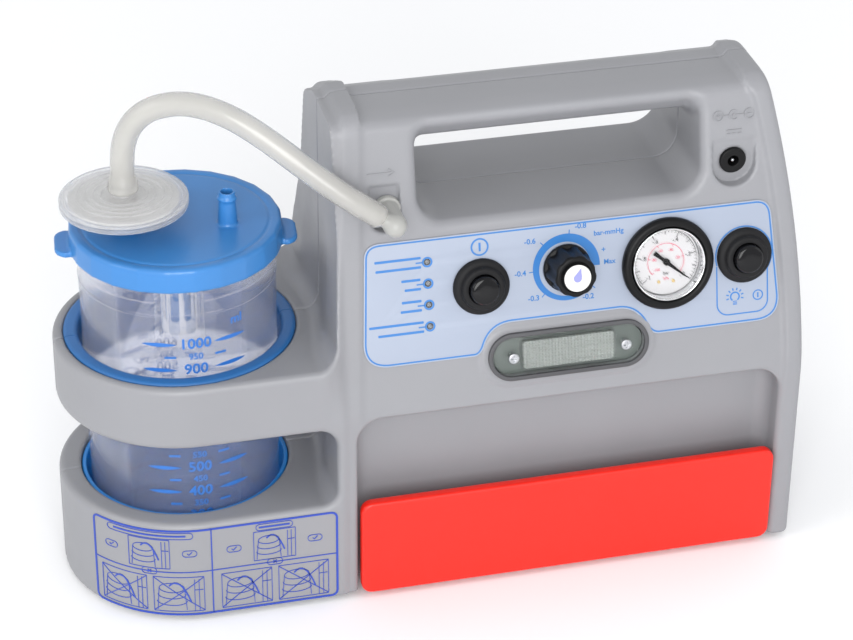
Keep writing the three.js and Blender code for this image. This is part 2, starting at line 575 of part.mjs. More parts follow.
// ---- jar seats ----------------------------------------------------------------------------------
const liner = solid(turned([[LINER_R, UPPER_SEAT_Z + 1], [53.1, UPPER_SEAT_Z + 1], [53.1, LINER_TOP_Z - 2.3],
  [LINER_FLANGE_R, LINER_TOP_Z - 2.3], [LINER_FLANGE_R, LINER_TOP_Z - 0.8], [57.6, LINER_TOP_Z],
  [52.6, LINER_TOP_Z], [LINER_R, LINER_TOP_Z - 1.2], [LINER_R, UPPER_SEAT_Z + 1]], 36).translate(JAR_X, 0, 0));
place(pump, 'seat_liner_front', liner.intersect(block(-300, 0, -200, -GAP / 2, 0, 300)), bluePlastic);
place(pump, 'seat_liner_rear', liner.intersect(block(-300, 0, GAP / 2, 200, 0, 300)), bluePlastic);
place(pump, 'jar_seat_cup', turned([[0, SEAT_FLOOR_Z + 0.4], [53.7, SEAT_FLOOR_Z + 0.4], [53.7, 57.6], [53.2, 58.2],
  [51.6, 58.2], [51.2, 57.6], [51.2, 10.8], [0, 10.8]], 36).translate(JAR_X, 0, 0), bluePlastic);

// ---- jar, lid, float and filter -----------------------------------------------------------------
place(pump, 'jar', turned([[0, JAR_FOOT_Z], [JAR_FOOT_R - 4, JAR_FOOT_Z], [JAR_FOOT_R, JAR_FOOT_Z + 4],
  [JAR_R - 0.3, 182], [JAR_R, 184], [JAR_R, JAR_RIM_Z], [JAR_R - JAR_WALL, JAR_RIM_Z], [JAR_R - JAR_WALL, 184],
  [JAR_FOOT_R - JAR_WALL, JAR_FOOT_Z + 5], [JAR_FOOT_R - 5, JAR_FOOT_Z + 2.4], [0, JAR_FOOT_Z + 2.4]], 36)
  .translate(JAR_X, 0, 0), clearPlastic);

const lidTab = (turn) => solid(extrudeZ(roundedRectangle(40, 60.4, -12, 12, 7), LID_SKIRT_Z, LID_SKIRT_Z + 3, 5)
  .rotateZ(LID_TURN + turn).translate(JAR_X, 0, 0)).subtract(jarBore(51, 150, 198));
const at = ([x, y], geometry) => solid(geometry.translate(x, y, 0));
place(pump, 'jar_lid', cutBy(joined(
  solid(turned([[0, 198], [50.6, 198], [50.6, LID_SKIRT_Z], [LID_R, LID_SKIRT_Z], [LID_R - 0.6, 198.4],
    [LID_R - 2.4, LID_TOP_Z], [0, LID_TOP_Z]], 36).translate(JAR_X, 0, 0)),
  lidTab(0), lidTab(Math.PI),
  at(PATIENT_PORT, turned([[0, 199], [4.9, 199], [4.9, 204], [4.1, 218.5], [0, 218.5]], 16)),
  at(VACUUM_PORT, turned([[0, 199], [7, 199], [6.4, 206], [0, 206]], 16)),
), at(PATIENT_PORT, rod(3, 190, 230, 12)), at(VACUUM_PORT, rod(4.7, 190, 230, 16))), bluePlastic);
place(pump, 'lid_gasket', ring(46, 50.2, JAR_RIM_Z + GAP, 197.7, 36).translate(JAR_X, 0, 0), greyRubber);

const CAGE_FOOT_Z = 138;
const cageSlots = [0, 1, 2, 3].map((i) => solid(new THREE.BoxGeometry(30, 5, 22).translate(0, 0, 156)
  .rotateZ((i * Math.PI) / 4).translate(...VACUUM_PORT, 0)));
place(pump, 'float_cage', cutBy(
  at(VACUUM_PORT, turned([[8, 197.6], [9.6, 197.6], [9.6, CAGE_FOOT_Z], [4, CAGE_FOOT_Z], [4, CAGE_FOOT_Z + 2],
    [8, CAGE_FOOT_Z + 2], [8, 197.6]], 20)), ...cageSlots), whitePlastic);
place(pump, 'float', turned([[0, CAGE_FOOT_Z + 2.4], [6.8, CAGE_FOOT_Z + 2.4], [6.8, 172], [4, 176], [0, 177]], 16)
  .translate(...VACUUM_PORT, 0), bluePlastic);

const FILTER_SPLIT_Z = FILTER_Z + FILTER_THICK / 2;
place(pump, 'filter_lower', cutBy(
  joined(at(VACUUM_PORT, turned([[0, 203], [4.4, 203], [4.6, FILTER_Z], [0, FILTER_Z]], 16)),
    at(VACUUM_PORT, turned([[0, FILTER_Z - 0.1], [FILTER_R - 3, FILTER_Z - 0.1], [FILTER_R, FILTER_Z + 1.4],
      [FILTER_R, FILTER_SPLIT_Z - 0.15], [0, FILTER_SPLIT_Z - 0.15]], 36))),
  at(VACUUM_PORT, rod(3, 190, 230, 12)), at(VACUUM_PORT, rod(28, FILTER_Z + 1.6, 230, 32))), milkyPlastic);
place(pump, 'filter_upper', cutBy(
  joined(at(VACUUM_PORT, turned([[0, FILTER_SPLIT_Z + 0.15], [FILTER_R, FILTER_SPLIT_Z + 0.15],
    [FILTER_R, FILTER_Z + 5.6], [FILTER_R - 3, FILTER_Z + FILTER_THICK], [0, FILTER_Z + FILTER_THICK]], 36)),
  at(VACUUM_PORT, turned([[0, 219], [5.6, 219], [4, 223], [3.8, SPIGOT_TOP_Z], [0, SPIGOT_TOP_Z]], 16))),
  at(VACUUM_PORT, rod(2.4, 200, 240, 12)), at(VACUUM_PORT, rod(28, 200, FILTER_Z + 5.4, 32))), milkyPlastic);
place(pump, 'filter_membrane', rod(27.6, FILTER_SPLIT_Z - 0.4, FILTER_SPLIT_Z + 0.4, 28)
  .translate(...VACUUM_PORT, 0), whitePlastic);

// ---- inside the casing --------------------------------------------------------------------------
place(pump, 'battery_pack', extrudeZ(roundedRectangle(84, 168, -30, 40, 3), 8, 104, 3), blackPlastic);
const MOTOR = [20, 44];          // y and z of the pump shaft
const alongX = (geometry) => geometry.rotateY(Math.PI / 2).translate(0, ...MOTOR);
place(pump, 'pump_motor', alongX(turned([[0, -34], [16, -34], [18.5, -31], [18.5, 20], [6, 20], [6, 22], [0, 22]],
  32)), steel);
place(pump, 'pump_eccentric', alongX(geometryOf(joined(
  solid(rod(2.5, 22.3, 27, 16)), solid(rod(8, 26.8, 34, 24).translate(0, 2.5, 0))))), brass);
place(pump, 'pump_head', cutBy(
  joined(block(25.8, 74, -4, 44, 20, 80), block(31, 69, 2, 38, 79, 96)),
  solid(alongX(rod(12, 20, 36, 32)))), steel);
place(pump, 'exhaust_silencer', rod(9, -34, 20, 24).rotateY(Math.PI / 2).translate(0, 32, 96), blackPlastic);
const TUBE = [[INLET[0], -26.6, INLET[1]], [INLET[0], -21, INLET[1]], [-25, -13, 203], [-24, -8, 185], [-15, -2, 160],
  [8, 6, 136], [34, 14, 122], [46, 19, 108], [46, 19, 96.4]].map(([x, y, z]) => new THREE.Vector3(x, y, z));
place(pump, 'suction_tube', new THREE.ExtrudeGeometry(disc(0, 0, 4), {
  steps: 12, curveSegments: 8, extrudePath: new THREE.CatmullRomCurve3(TUBE), bevelEnabled: false,
}), milkyPlastic);

export default pump;
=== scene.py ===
"""Visible pieces of the portable suction pump, each riding on its own moving body.

Lengths are millimetres in the casing's own frame: its seam plane is y = 0 and its front faces -Y.
They become metres in the part's frame when a mesh is made.
"""
import math

import bmesh
import bpy
import numpy as np
from mathutils import Matrix, Vector
from mathutils.geometry import tessellate_polygon


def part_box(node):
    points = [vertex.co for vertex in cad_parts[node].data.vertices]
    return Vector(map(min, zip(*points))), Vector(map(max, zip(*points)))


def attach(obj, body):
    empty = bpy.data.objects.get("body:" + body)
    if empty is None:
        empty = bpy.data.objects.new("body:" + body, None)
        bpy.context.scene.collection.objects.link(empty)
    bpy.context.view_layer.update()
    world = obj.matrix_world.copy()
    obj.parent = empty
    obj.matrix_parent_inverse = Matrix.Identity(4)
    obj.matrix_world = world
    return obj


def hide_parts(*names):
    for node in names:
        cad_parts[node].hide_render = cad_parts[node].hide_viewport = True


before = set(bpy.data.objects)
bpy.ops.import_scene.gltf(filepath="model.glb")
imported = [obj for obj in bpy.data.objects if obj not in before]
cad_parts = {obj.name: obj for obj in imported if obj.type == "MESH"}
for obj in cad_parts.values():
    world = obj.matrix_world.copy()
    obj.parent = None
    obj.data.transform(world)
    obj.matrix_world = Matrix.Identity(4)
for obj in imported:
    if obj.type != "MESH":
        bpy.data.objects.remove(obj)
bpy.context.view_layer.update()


# ---- sizes taken from the frame -------------------------------------------------------------
def box_mm(node):
    """Lowest and highest corner of a node, in millimetres of the casing's frame."""
    low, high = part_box(node)
    shift = Vector((0, SEAM_Y, 0))
    return low * 1000 - shift, high * 1000 - shift


SEAM_GAP = 0.3
SEAM_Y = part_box("front_shell")[1].y * 1000 + SEAM_GAP / 2
SHELL_LOW, SHELL_HIGH = box_mm("front_shell")
BASE_Z = SHELL_LOW.z
PLATE_TOP_Z = SHELL_HIGH.z
RIGHT_END = SHELL_HIGH.x
PLATE_FRONT = -SHELL_LOW.y
PANEL_FRONT = PLATE_FRONT - 1.4
PLATE_BEND_Z = 111.1
PANEL_BEND_Z = 108.3
HANDLE_TOP_Z = PLATE_TOP_Z - 3.2
TILT = math.radians(12.7)
LEFT_X = -57.0
WALL = 3.0
JAR_LOW, JAR_HIGH = box_mm("jar")
JAR_X = (JAR_LOW.x + JAR_HIGH.x) / 2
LOWER_SEAT_R = JAR_X - SHELL_LOW.x
LOWER_SEAT_TOP_Z = 60.0
UPPER_SEAT_R = LOWER_SEAT_R - 1
UPPER_SEAT_Z = 104.6
UPPER_SEAT_TOP_Z = 139.5


def metres(point):
    """A point of the casing's frame in the part's frame, in metres."""
    return (point[0] / 1000, (point[1] + SEAM_Y) / 1000, point[2] / 1000)


HERE = Matrix.Identity(4)
JAR = Matrix.Translation((JAR_X, 0, 0))
PORT = Matrix.Translation((-150, -3, 0))
# The panel's frame: u along X, v up the panel, n out of it.
PANEL = Matrix((
    (1, 0, 0, 0),
    (0, math.sin(TILT), -math.cos(TILT), -PANEL_FRONT),
    (0, math.cos(TILT), math.sin(TILT), PANEL_BEND_Z),
    (0, 0, 0, 1),
))


def on_panel(centre):
    return PANEL @ Matrix.Translation((*centre, 0))


# ---- meshes ---------------------------------------------------------------------------------
def add_mesh(name, points, faces, material, place=HERE, body="pump_body", nodes=(), smooth=40):
    """A piece from points in millimetres, riding on a body and standing for nodes of the frame."""
    turn = np.array(place)
    coords = np.asarray(points, dtype=float) @ turn[:3, :3].T + turn[:3, 3]
    coords[:, 1] += SEAM_Y
    mesh = bpy.data.meshes.new(name)
    mesh.from_pydata((coords / 1000).tolist(), [], faces)
    mesh.validate()
    mesh.polygons.foreach_set("use_smooth", [True] * len(mesh.polygons))
    mesh.set_sharp_from_angle(angle=math.radians(smooth))
    finish, slot = material
    mesh.materials.append(finish)
    piece = bpy.data.objects.new(name, mesh)
    bpy.context.scene.collection.objects.link(piece)
    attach(piece, body)
    if nodes:
        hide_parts(*nodes)
    return piece


def welded(points, faces):
    """The points joined where they meet, and the faces turned outwards."""
    work = bmesh.new()
    corners = [work.verts.new(p) for p in points]
    for face in faces:
        if len(set(face)) > 2:
            try:
                work.faces.new([corners[i] for i in face])
            except ValueError:
                pass
    bmesh.ops.remove_doubles(work, verts=work.verts, dist=1e-4)
    bmesh.ops.recalc_face_normals(work, faces=work.faces)
    work.verts.index_update()
    new_points = [tuple(v.co) for v in work.verts]
    new_faces = [[v.index for v in f.verts] for f in work.faces]
    work.free()
    return new_points, new_faces


# ---- signed distance fields -----------------------------------------------------------------
def round_max(a, b, r):
    """Intersection with an edge of radius r."""
    return np.minimum(-r, np.maximum(a, b)) + np.hypot(np.maximum(a + r, 0), np.maximum(b + r, 0))


def round_min(a, b, r):
    """Union with a fillet of radius r."""
    return np.maximum(r, np.minimum(a, b)) - np.hypot(np.maximum(r - a, 0), np.maximum(r - b, 0))


def soft_max(a, b, k):
    """Intersection that eases a shallow crease over a width k."""
    return np.maximum(a, b) + np.maximum(k - np.abs(a - b), 0) ** 2 / (4 * k)


def soft_min(a, b, k):
    """Union that eases a shallow crease over a width k."""
    return -soft_max(-a, -b, k)


def cut(body, tool, r):
    """The body without the tool, with an edge of radius r."""
    return round_max(body, -tool, r)


def ease(value, start, end):
    """A smooth step from 0 at the start to 1 at the end."""
    t = np.clip((value - start) / (end - start), 0, 1)
    return t * t * (3 - 2 * t)


def rounded_box(a, b, low, high, r):
    """Distance to a rectangle with corners of radius r, in two coordinates."""
    ca, cb = (low[0] + high[0]) / 2, (low[1] + high[1]) / 2
    da = np.abs(a - ca) - (high[0] - low[0]) / 2 + r
    db = np.abs(b - cb) - (high[1] - low[1]) / 2 + r
    return np.hypot(np.maximum(da, 0), np.maximum(db, 0)) + np.minimum(np.maximum(da, db), 0) - r


def stadium(u, v, half_length, half_height):
    reach = half_length - half_height
    return np.hypot(np.maximum(np.abs(u) - reach, 0), v) - half_height


def sector(along, across, count, start=0.0):
    """The angle from the middle of the nearest of count equal sectors round an axis."""
    width = 2 * math.pi / count
    return np.mod(np.arctan2(across, along) - start + 8 * np.pi, width) - width / 2


def cross_slot(u, v, half_width, reach):
    """The slot of a cross-head screw."""
    u, v = np.abs(u), np.abs(v)
    return np.minimum(np.maximum(u - half_width, v - reach), np.maximum(v - half_width, u - reach))


def field_mesh(field, low, high, step):
    """Points and quads of the surface where field(x, y, z) is zero, one point in each cell it crosses."""
    axes = [np.arange(a, b + step, step, dtype=np.float32) for a, b in zip(low, high)]
    x, y, z = np.meshgrid(*axes, indexing="ij", sparse=True)
    values = np.ascontiguousarray(np.broadcast_to(field(x, y, z), [len(a) for a in axes]), dtype=np.float32)
    inside = values < 0
    corners = [(i, j, k) for i in (0, 1) for j in (0, 1) for k in (0, 1)]
    count = np.zeros([n - 1 for n in inside.shape], np.int8)
    for i, j, k in corners:
        count += inside[i:i - 1 or None, j:j - 1 or None, k:k - 1 or None]
    cells = np.argwhere((count > 0) & (count < 8))
    at_corner = {c: values[tuple((cells + c).T)] for c in corners}
    total = np.zeros(cells.shape, np.float32)
    crossings = np.zeros(len(cells), np.float32)
    for a in corners:
        for axis in range(3):
            if a[axis]:
                continue
            b = tuple(1 if n == axis else a[n] for n in range(3))
            va, vb = at_corner[a], at_corner[b]
            crossed = (va < 0) != (vb < 0)
            share = np.where(crossed, va / np.where(crossed, va - vb, 1), 0)
            for n in range(3):
                total[:, n] += np.where(crossed, a[n] + share * (b[n] - a[n]), 0)
            crossings += crossed
    points = np.array(low) + step * (cells + total / crossings[:, None])
    number = np.full(count.shape, -1, np.int32)
    number[tuple(cells.T)] = np.arange(len(cells))
    quads = []
    for axis in range(3):
        first, second = [n for n in range(3) if n != axis]
        near = np.take(inside, range(inside.shape[axis] - 1), axis)
        far = np.take(inside, range(1, inside.shape[axis]), axis)
        edges = np.argwhere(near != far)
        edges = edges[(edges[:, first] > 0) & (edges[:, second] > 0)]
        leaving = near[tuple(edges.T)]
        ring = []
        for da, db in ((-1, -1), (0, -1), (0, 0), (-1, 0)):
            cell = edges.copy()
            cell[:, first] += da
            cell[:, second] += db
            ring.append(number[tuple(cell.T)])
        ring = np.stack(ring, 1)
        forward = leaving if axis != 1 else ~leaving
        quads.append(np.where(forward[:, None], ring, ring[:, ::-1]))
    return points, np.concatenate(quads).tolist()


def moulded(name, field, low, high, step, material, **how):
    """A piece whose surface is where the field is zero."""
    points, quads = field_mesh(field, low, high, step)
    return add_mesh(name, points, quads, material, **how)


# ---- turned, cut-out and printed shapes -----------------------------------------------------
def soften(points, r, closed, steps=4):
    """Rounds the corners of an outline; a point's third value, where it has one, is its own radius."""
    count = len(points)
    result = []
    for i, corner in enumerate(points):
        here = Vector(corner[:2])
        size = corner[2] if len(corner) > 2 else r
        if size <= 0 or (not closed and i in (0, count - 1)):
            result.append(tuple(here))
            continue
        before = Vector(points[i - 1][:2]) - here
        after = Vector(points[(i + 1) % count][:2]) - here
        start = here + before.normalized() * min(size, before.length * 0.48)
        end = here + after.normalized() * min(size, after.length * 0.48)
        for k in range(steps + 1):
            t = k / steps
            result.append(tuple(start * (1 - t) ** 2 + here * (2 * t * (1 - t)) + end * t * t))
    return result


def lathe(profile, steps, span=None, closed=False):
    """Points and faces of an outline of (radius, height) turned about the axis, whole or over a span."""
    start, end = span or (0, 360)
    rings = steps if span is None else steps + 1
    points = []
    for i in range(rings):
        angle = math.radians(start + (end - start) * i / steps)
        points += [(r * math.cos(angle), r * math.sin(angle), z) for r, z in profile]
    n = len(profile)
    faces = []
    for i in range(steps):
        a, b = i * n, ((i + 1) % rings) * n
        for k in range(n if closed else n - 1):
            m = (k + 1) % n
            faces.append([a + k, a + m, b + m, b + k])
    if span is not None:
        faces.append(list(range(n)))
        faces.append(list(range((rings - 1) * n, rings * n)))
    return welded(points, faces)


def turned(name, profile, place, material, nodes=(), r=0.5, steps=96, closed=False, span=None, smooth=35,
           body="pump_body"):
    points, faces = lathe(soften(profile, r, closed), steps, span, closed)
    return add_mesh(name, points, faces, material, place, body, nodes, smooth)


def polar(u, v, r, degrees):
    angle = math.radians(degrees)
    return (u + r * math.cos(angle), v + r * math.sin(angle))


def arc(u, v, r, start, end, steps=48):
    return [polar(u, v, r, start + (end - start) * i / steps) for i in range(steps + 1)]


def circle(u, v, r, steps=48):
    return arc(u, v, r, 0, 360, steps)[:-1]


def rounded_rectangle(u0, u1, v0, v1, r, steps=8):
    corners = ((u1 - r, v0 + r, -90), (u1 - r, v1 - r, 0), (u0 + r, v1 - r, 90), (u0 + r, v0 + r, 180))
    return [p for u, v, start in corners for p in arc(u, v, r, start, start + 90, steps)]


def stadium_loop(half_length, half_height):
    return rounded_rectangle(-half_length, half_length, -half_height, half_height, half_height - 0.001, 24)


def straight(a, b, pieces=12):
    """A straight path cut into pieces, so that it can bend round a curved face."""
    return [(a[0] + (b[0] - a[0]) * i / pieces, a[1] + (b[1] - a[1]) * i / pieces) for i in range(pieces + 1)]


def cut_up(loop):
    """The loop with its long runs cut up, so that they bend smoothly."""
    result = []
    for a, b in zip(loop, loop[1:] + loop[:1]):
        result += straight(a, b, max(1, int(math.dist(a, b) / 3)))[:-1]
    return result


def curve_mesh(data, height, scale=1.0):
    """Points and faces of a curve's filled shape, its outline scaled."""
    holder = bpy.data.objects.new("outline", data)
    bpy.context.scene.collection.objects.link(holder)
    bpy.context.view_layer.update()
    mesh = holder.evaluated_get(bpy.context.evaluated_depsgraph_get()).to_mesh()
    points = [(v.co.x * scale, v.co.y * scale, v.co.z + height) for v in mesh.vertices]
    faces = [list(f.vertices) for f in mesh.polygons]
    bpy.data.objects.remove(holder)
    bpy.data.curves.remove(data)
    return welded(points, faces)


def cut_out(loops, low, high, edge):
    """Points and faces of a plate with these outlines, the first its rim, with rounded edges."""
    data = bpy.data.curves.new("outline", "CURVE")
    data.dimensions = "2D"
    data.fill_mode = "BOTH"
    data.extrude = (high - low) / 2 - edge
    data.bevel_depth = edge
    data.bevel_resolution = 3
    data.offset = -edge
    for loop in loops:
        spline = data.splines.new("POLY")
        spline.points.add(len(loop) - 1)
        spline.points.foreach_set("co", [c for p in loop for c in (p[0], p[1], 0, 1)])
        spline.use_cyclic_u = True
    return curve_mesh(data, (low + high) / 2)


def plate(name, loops, low, high, edge, place, material, node):
    points, faces = cut_out(loops, low, high, edge)
    add_mesh(name, points, faces, material, place, nodes=[node], smooth=35)


class Print:
    """Thin flat marks gathered into one piece, in the plane of a place or bent by a mapping."""

    def __init__(self, low, high):
        self.low, self.high = low, high
        self.points, self.faces = [], []

    def add(self, points, faces):
        start = len(self.points)
        self.points += points
        self.faces += [[start + i for i in face] for face in faces]

    def shape(self, loop):
        """A closed outline, triangulated and given its thickness."""
        triangles = tessellate_polygon([[Vector((*p, 0)) for p in loop]])
        n = len(loop)
        points = [(*p, height) for height in (self.high, self.low) for p in loop]
        faces = [list(t) for t in triangles] + [[i + n for i in reversed(t)] for t in triangles]
        faces += [[i, (i + 1) % n, (i + 1) % n + n, i + n] for i in range(n)]
        self.add(*welded(points, faces))

    def line(self, path, width, closed=False, pointed=False):
        """A ribbon along a path, of even width or pointed at both ends."""
        count = len(path)
        points = []
        for i, p in enumerate(path):
            a = path[i - 1] if i or closed else p
            b = path[(i + 1) % count] if i + 1 < count or closed else p
            along = Vector((b[0] - a[0], b[1] - a[1])).normalized()
            share = max(0.08, math.sin(math.pi * i / (count - 1)) ** 0.7) if pointed else 1
            across = Vector((-along.y, along.x)) * width / 2 * share
            left, right = (p[0] + across.x, p[1] + across.y), (p[0] - across.x, p[1] - across.y)
            points += [(*left, self.high), (*right, self.high), (*right, self.low), (*left, self.low)]
        faces = []
        for i in range(count if closed else count - 1):
            here, there = 4 * i, 4 * ((i + 1) % count)
            for k in range(4):
                m = (k + 1) % 4
                faces.append([here + k, here + m, there + m, there + k])
        if not closed:
            last = 4 * (count - 1)
            faces += [[0, 1, 2, 3], [last, last + 1, last + 2, last + 3]]
        self.add(*welded(points, faces))

    def ring(self, u, v, r, width, steps=48):
        self.line(circle(u, v, r, steps), width, closed=True)

    def spoke(self, u, v, start, end, degrees, width):
        """A short line along a radius."""
        self.line([polar(u, v, start, degrees), polar(u, v, end, degrees)], width)

    def text(self, words, u, v, size):
        """Figures centred on a point."""
        data = bpy.data.curves.new("figures", "FONT")
        data.body = words
        data.align_x, data.align_y = "CENTER", "CENTER"
        data.resolution_u = 3
        data.offset = 0.022
        data.extrude = (self.high - self.low) / 2 / size
        points, faces = curve_mesh(data, (self.low + self.high) / 2, size)
        self.add([(u + x, v + y, z) for x, y, z in points], faces)

    def piece(self, name, material, place=HERE, body="pump_body", bend=None):
        points = [bend(*p) for p in self.points] if bend else self.points
        add_mesh(name, points, self.faces, material, place, body, smooth=30)


# ---- materials ------------------------------------------------------------------------------
def surface(name, color, roughness, grain, depth, tone=0.03, spread=0.05, slot=None, **inputs):
    """A procedural finish: slow drift of tone, uneven gloss, and a fine grain in relief."""
    material = bpy.data.materials.new(name)
    material.use_nodes = True
    nodes, links = material.node_tree.nodes, material.node_tree.links
    shader = nodes["Principled BSDF"]
    where = nodes.new("ShaderNodeTexCoord")

    def noise(scale, detail):
        node = nodes.new("ShaderNodeTexNoise")
        node.inputs["Scale"].default_value = scale
        node.inputs["Detail"].default_value = detail
        links.new(where.outputs["Object"], node.inputs["Vector"])
        return node.outputs["Fac"]

    ramp = nodes.new("ShaderNodeValToRGB")
    for stop, position, factor in zip(ramp.color_ramp.elements, (0.3, 0.7), (1 - tone, 1 + tone)):
        stop.position = position
        stop.color = (*[min(1, c * factor) for c in color], 1)
    links.new(noise(22, 4), ramp.inputs["Fac"])
    links.new(ramp.outputs["Color"], shader.inputs["Base Color"])
    gloss = nodes.new("ShaderNodeMapRange")
    gloss.inputs["To Min"].default_value = max(0.02, roughness - spread)
    gloss.inputs["To Max"].default_value = roughness + spread
    links.new(noise(90, 3), gloss.inputs["Value"])
    links.new(gloss.outputs["Result"], shader.inputs["Roughness"])
    bump = nodes.new("ShaderNodeBump")
    bump.inputs["Strength"].default_value = 0.6
    bump.inputs["Distance"].default_value = depth / 1000
    links.new(noise(grain, 2), bump.inputs["Height"])
    links.new(bump.outputs["Normal"], shader.inputs["Normal"])
    for key, value in inputs.items():
        shader.inputs[key.replace("_", " ")].default_value = value
    return material, slot or name


def ink(name, color, slot, roughness=0.4):
    return surface(name, color, roughness, 2500, 0.004, slot=slot)


def metal(name, color, roughness, depth=0.02, tone=0.06, spread=0.06):
    return surface(name, color, roughness, 900, depth, tone, spread, Metallic=1.0)


CASING = surface("casing_grey", (0.248, 0.250, 0.266), 0.42, 1600, 0.03, 0.02)
LABEL = surface("label_film", (0.31, 0.35, 0.435), 0.36, 2500, 0.006, 0.01)
BLUE_INK = ink("blue_ink", (0.018, 0.15, 0.43), "label_film")
PALE_INK = ink("pale_ink", (0.035, 0.17, 0.46), "label_film")
POINTER_INK = ink("pointer_ink", (0.26, 0.27, 0.56), "label_film")
DARK_INK = ink("dark_ink", (0.018, 0.055, 0.38), "casing_grey", 0.42)
BLACK_INK = ink("black_ink", (0.02, 0.02, 0.025), "control_black", 0.5)
RED_INK = ink("red_ink", (0.62, 0.05, 0.12), "pocket_red", 0.5)
JAR_INK = ink("jar_ink", (0.02, 0.14, 0.48), "clear_plastic")
RED = surface("pocket_red", (0.77, 0.011, 0.002), 0.36, 1700, 0.02)
BRIGHT_BLUE = surface("bright_blue", (0.036, 0.185, 0.47), 0.32, 900, 0.02, 0.05)
DEEP_BLUE = surface("deep_blue", (0.020, 0.13, 0.36), 0.42, 1200, 0.02, 0.06)
# The seat cup is the liners' deep blue made lighter: painted light that stands in for the light reaching the
# cup through the clear jar.
PAINTED_LIGHT_CUP_BLUE = surface("cup_blue_painted_light", (0.015, 0.22, 0.62), 0.4, 1200, 0.02, 0.06, slot="deep_blue")
GLOSS_BLACK = surface("gloss_black", (0.004, 0.004, 0.005), 0.10, 700, 0.006, 0.1, 0.03, "control_black",
                      Specular_IOR_Level=0.28)
SATIN_BLACK = surface("satin_black", (0.007, 0.007, 0.0075), 0.38, 1800, 0.02, 0.1, slot="control_black",
                      Specular_IOR_Level=0.16)
DULL_BLACK = surface("dull_black", (0.012, 0.012, 0.013), 0.55, 1800, 0.03, 0.12, slot="soft_black",
                     Specular_IOR_Level=0.16)
SOFT_GREY = surface("soft_grey", (0.06, 0.06, 0.065), 0.5, 1800, 0.03, 0.1, slot="soft_black")
FOOT = surface("foot_rubber", (0.06, 0.06, 0.065), 0.8, 1500, 0.05, 0.1)
SEAL = surface("seal_rubber", (0.15, 0.155, 0.16), 0.7, 1500, 0.04, 0.08)
JAR_CLEAR = surface("jar_clear", (0.80, 0.82, 0.93), 0.05, 60, 0.03, 0.01, 0.015, "clear_plastic",
                    Transmission_Weight=0.88, IOR=1.3, Alpha=0.5)
LENS_CLEAR = surface("lens_clear", (0.95, 0.96, 0.96), 0.06, 80, 0.01, 0.01, 0.02, "clear_plastic",
                     Transmission_Weight=1.0, IOR=1.35, Alpha=0.22)
PRISM = surface("lamp_prism", (0.38, 0.41, 0.39), 0.10, 900, 0.02, 0.06, 0.04, "clear_plastic",
                Transmission_Weight=0.3, IOR=1.4)
FILTER = surface("filter_plastic", (0.80, 0.80, 0.81), 0.16, 300, 0.02, 0.02, 0.04, "milky_plastic",
                 Transmission_Weight=0.6, IOR=1.33, Alpha=0.6)
MILKY = surface("milky_plastic", (0.46, 0.46, 0.44), 0.30, 500, 0.02, Transmission_Weight=0.25, IOR=1.4)
HOSE = surface("hose_silicone", (0.66, 0.65, 0.62), 0.22, 300, 0.02, Transmission_Weight=0.5, IOR=1.38,
               Alpha=0.72, Coat_Weight=0.4, Coat_Roughness=0.12)
WHITE = surface("white_plastic", (0.80, 0.80, 0.78), 0.4, 1500, 0.02)
PAPER = surface("white_paper", (0.66, 0.65, 0.63), 0.7, 1800, 0.02, 0.02, slot="white_plastic")
DIAL = surface("dial_white", (0.60, 0.59, 0.60), 0.5, 2500, 0.006, 0.02, slot="white_plastic")
CHROME = metal("bright_metal", (0.74, 0.75, 0.76), 0.12, 0.006, 0.04, 0.04)
STEEL = metal("plain_steel", (0.46, 0.47, 0.49), 0.32)
BRASS = metal("valve_brass", (0.62, 0.44, 0.16), 0.3)
LAMP_BOARD = surface("lamp_board", (0.11, 0.13, 0.12), 0.35, 300, 0.02, 0.2, slot="board_green")
BOARD = surface("board_green", (0.02, 0.12, 0.06), 0.4, 1200, 0.03, 0.2)
BATTERY = surface("battery_dark", (0.02, 0.02, 0.022), 0.5, 1400, 0.03, 0.1)


# ---- casing ---------------------------------------------------------------------------------
RIGHT_CURVE_Z = 118.0
RIGHT_CURVE = 8.9e-4
DRAFT_Z = 130.0
LEFT_DRAFT = math.atan2(8.6, 122)
REAR_FALL = math.radians(24)
SCOOP_R = 72.0
SEAT_BORE_R = 54.0
UPPER_BORE_R = 53.4
FLANGE_R = 59.2
SHELL_STEP = 1.0
# left, right, floor and ceiling of the hand hole
GRIP = (-10.0, 136.5, 205.0, 240.5)
# left, right, top and back of the front recess
RECESS = (-46.8, 177.9, 108.0, 47.5)
DC_AT = (153.7, 218.4)
# middle, half width, top, foot and floor of the two small recesses
DC_RECESS = (DC_AT[0], 11.3, 230.3, 206, 36.2)
INLET_RECESS = (-27.2, 7.8, 226.2, 203, 36.6)
# x, z and the depth of the seat of the rear screws' wells
SCREW_WELLS = ((-44, 17, 50), (176, 17, 50), (-38, 187, 34), (162, 187, 34))
# centres of the panel's parts, in the panel's frame
LAMP = (63.8, 25.0)
KNOB = (64.1, 68.6)
GAUGE = (117.0, 64.6)
POWER = (19.6, 64.0)
LIGHT = (158.0, 63.9)
LED_X = -7.3
LED_ROWS = (79.8, 68.6, 57.5, 46.2)


def face_and_crown(y, z, front, bend_z, top_z, edge):
    """Upright face, leaning face above the bend, and a crown that is flat, then falls to a round edge."""
    depth = np.abs(y)
    upright = depth - front
    leaning = upright * math.cos(TILT) + (z - bend_z) * math.sin(TILT)
    flat = z - top_z
    front_fall = flat * math.cos(TILT) + (depth - 21) * math.sin(TILT)
    rear_fall = flat * math.cos(REAR_FALL) + (y - 10) * math.sin(REAR_FALL)
    falling = np.maximum(front_fall, rear_fall)
    return round_max(soft_max(upright, leaning, 1.6), soft_max(flat, falling, 1.2), edge)


def right_line(x, z):
    """Distance right of the casing's right end, which curves in towards the top."""
    above = np.maximum(z - RIGHT_CURVE_Z, 0)
    return (x + RIGHT_CURVE * above ** 2 - RIGHT_END) / np.hypot(1, 2 * RIGHT_CURVE * above)


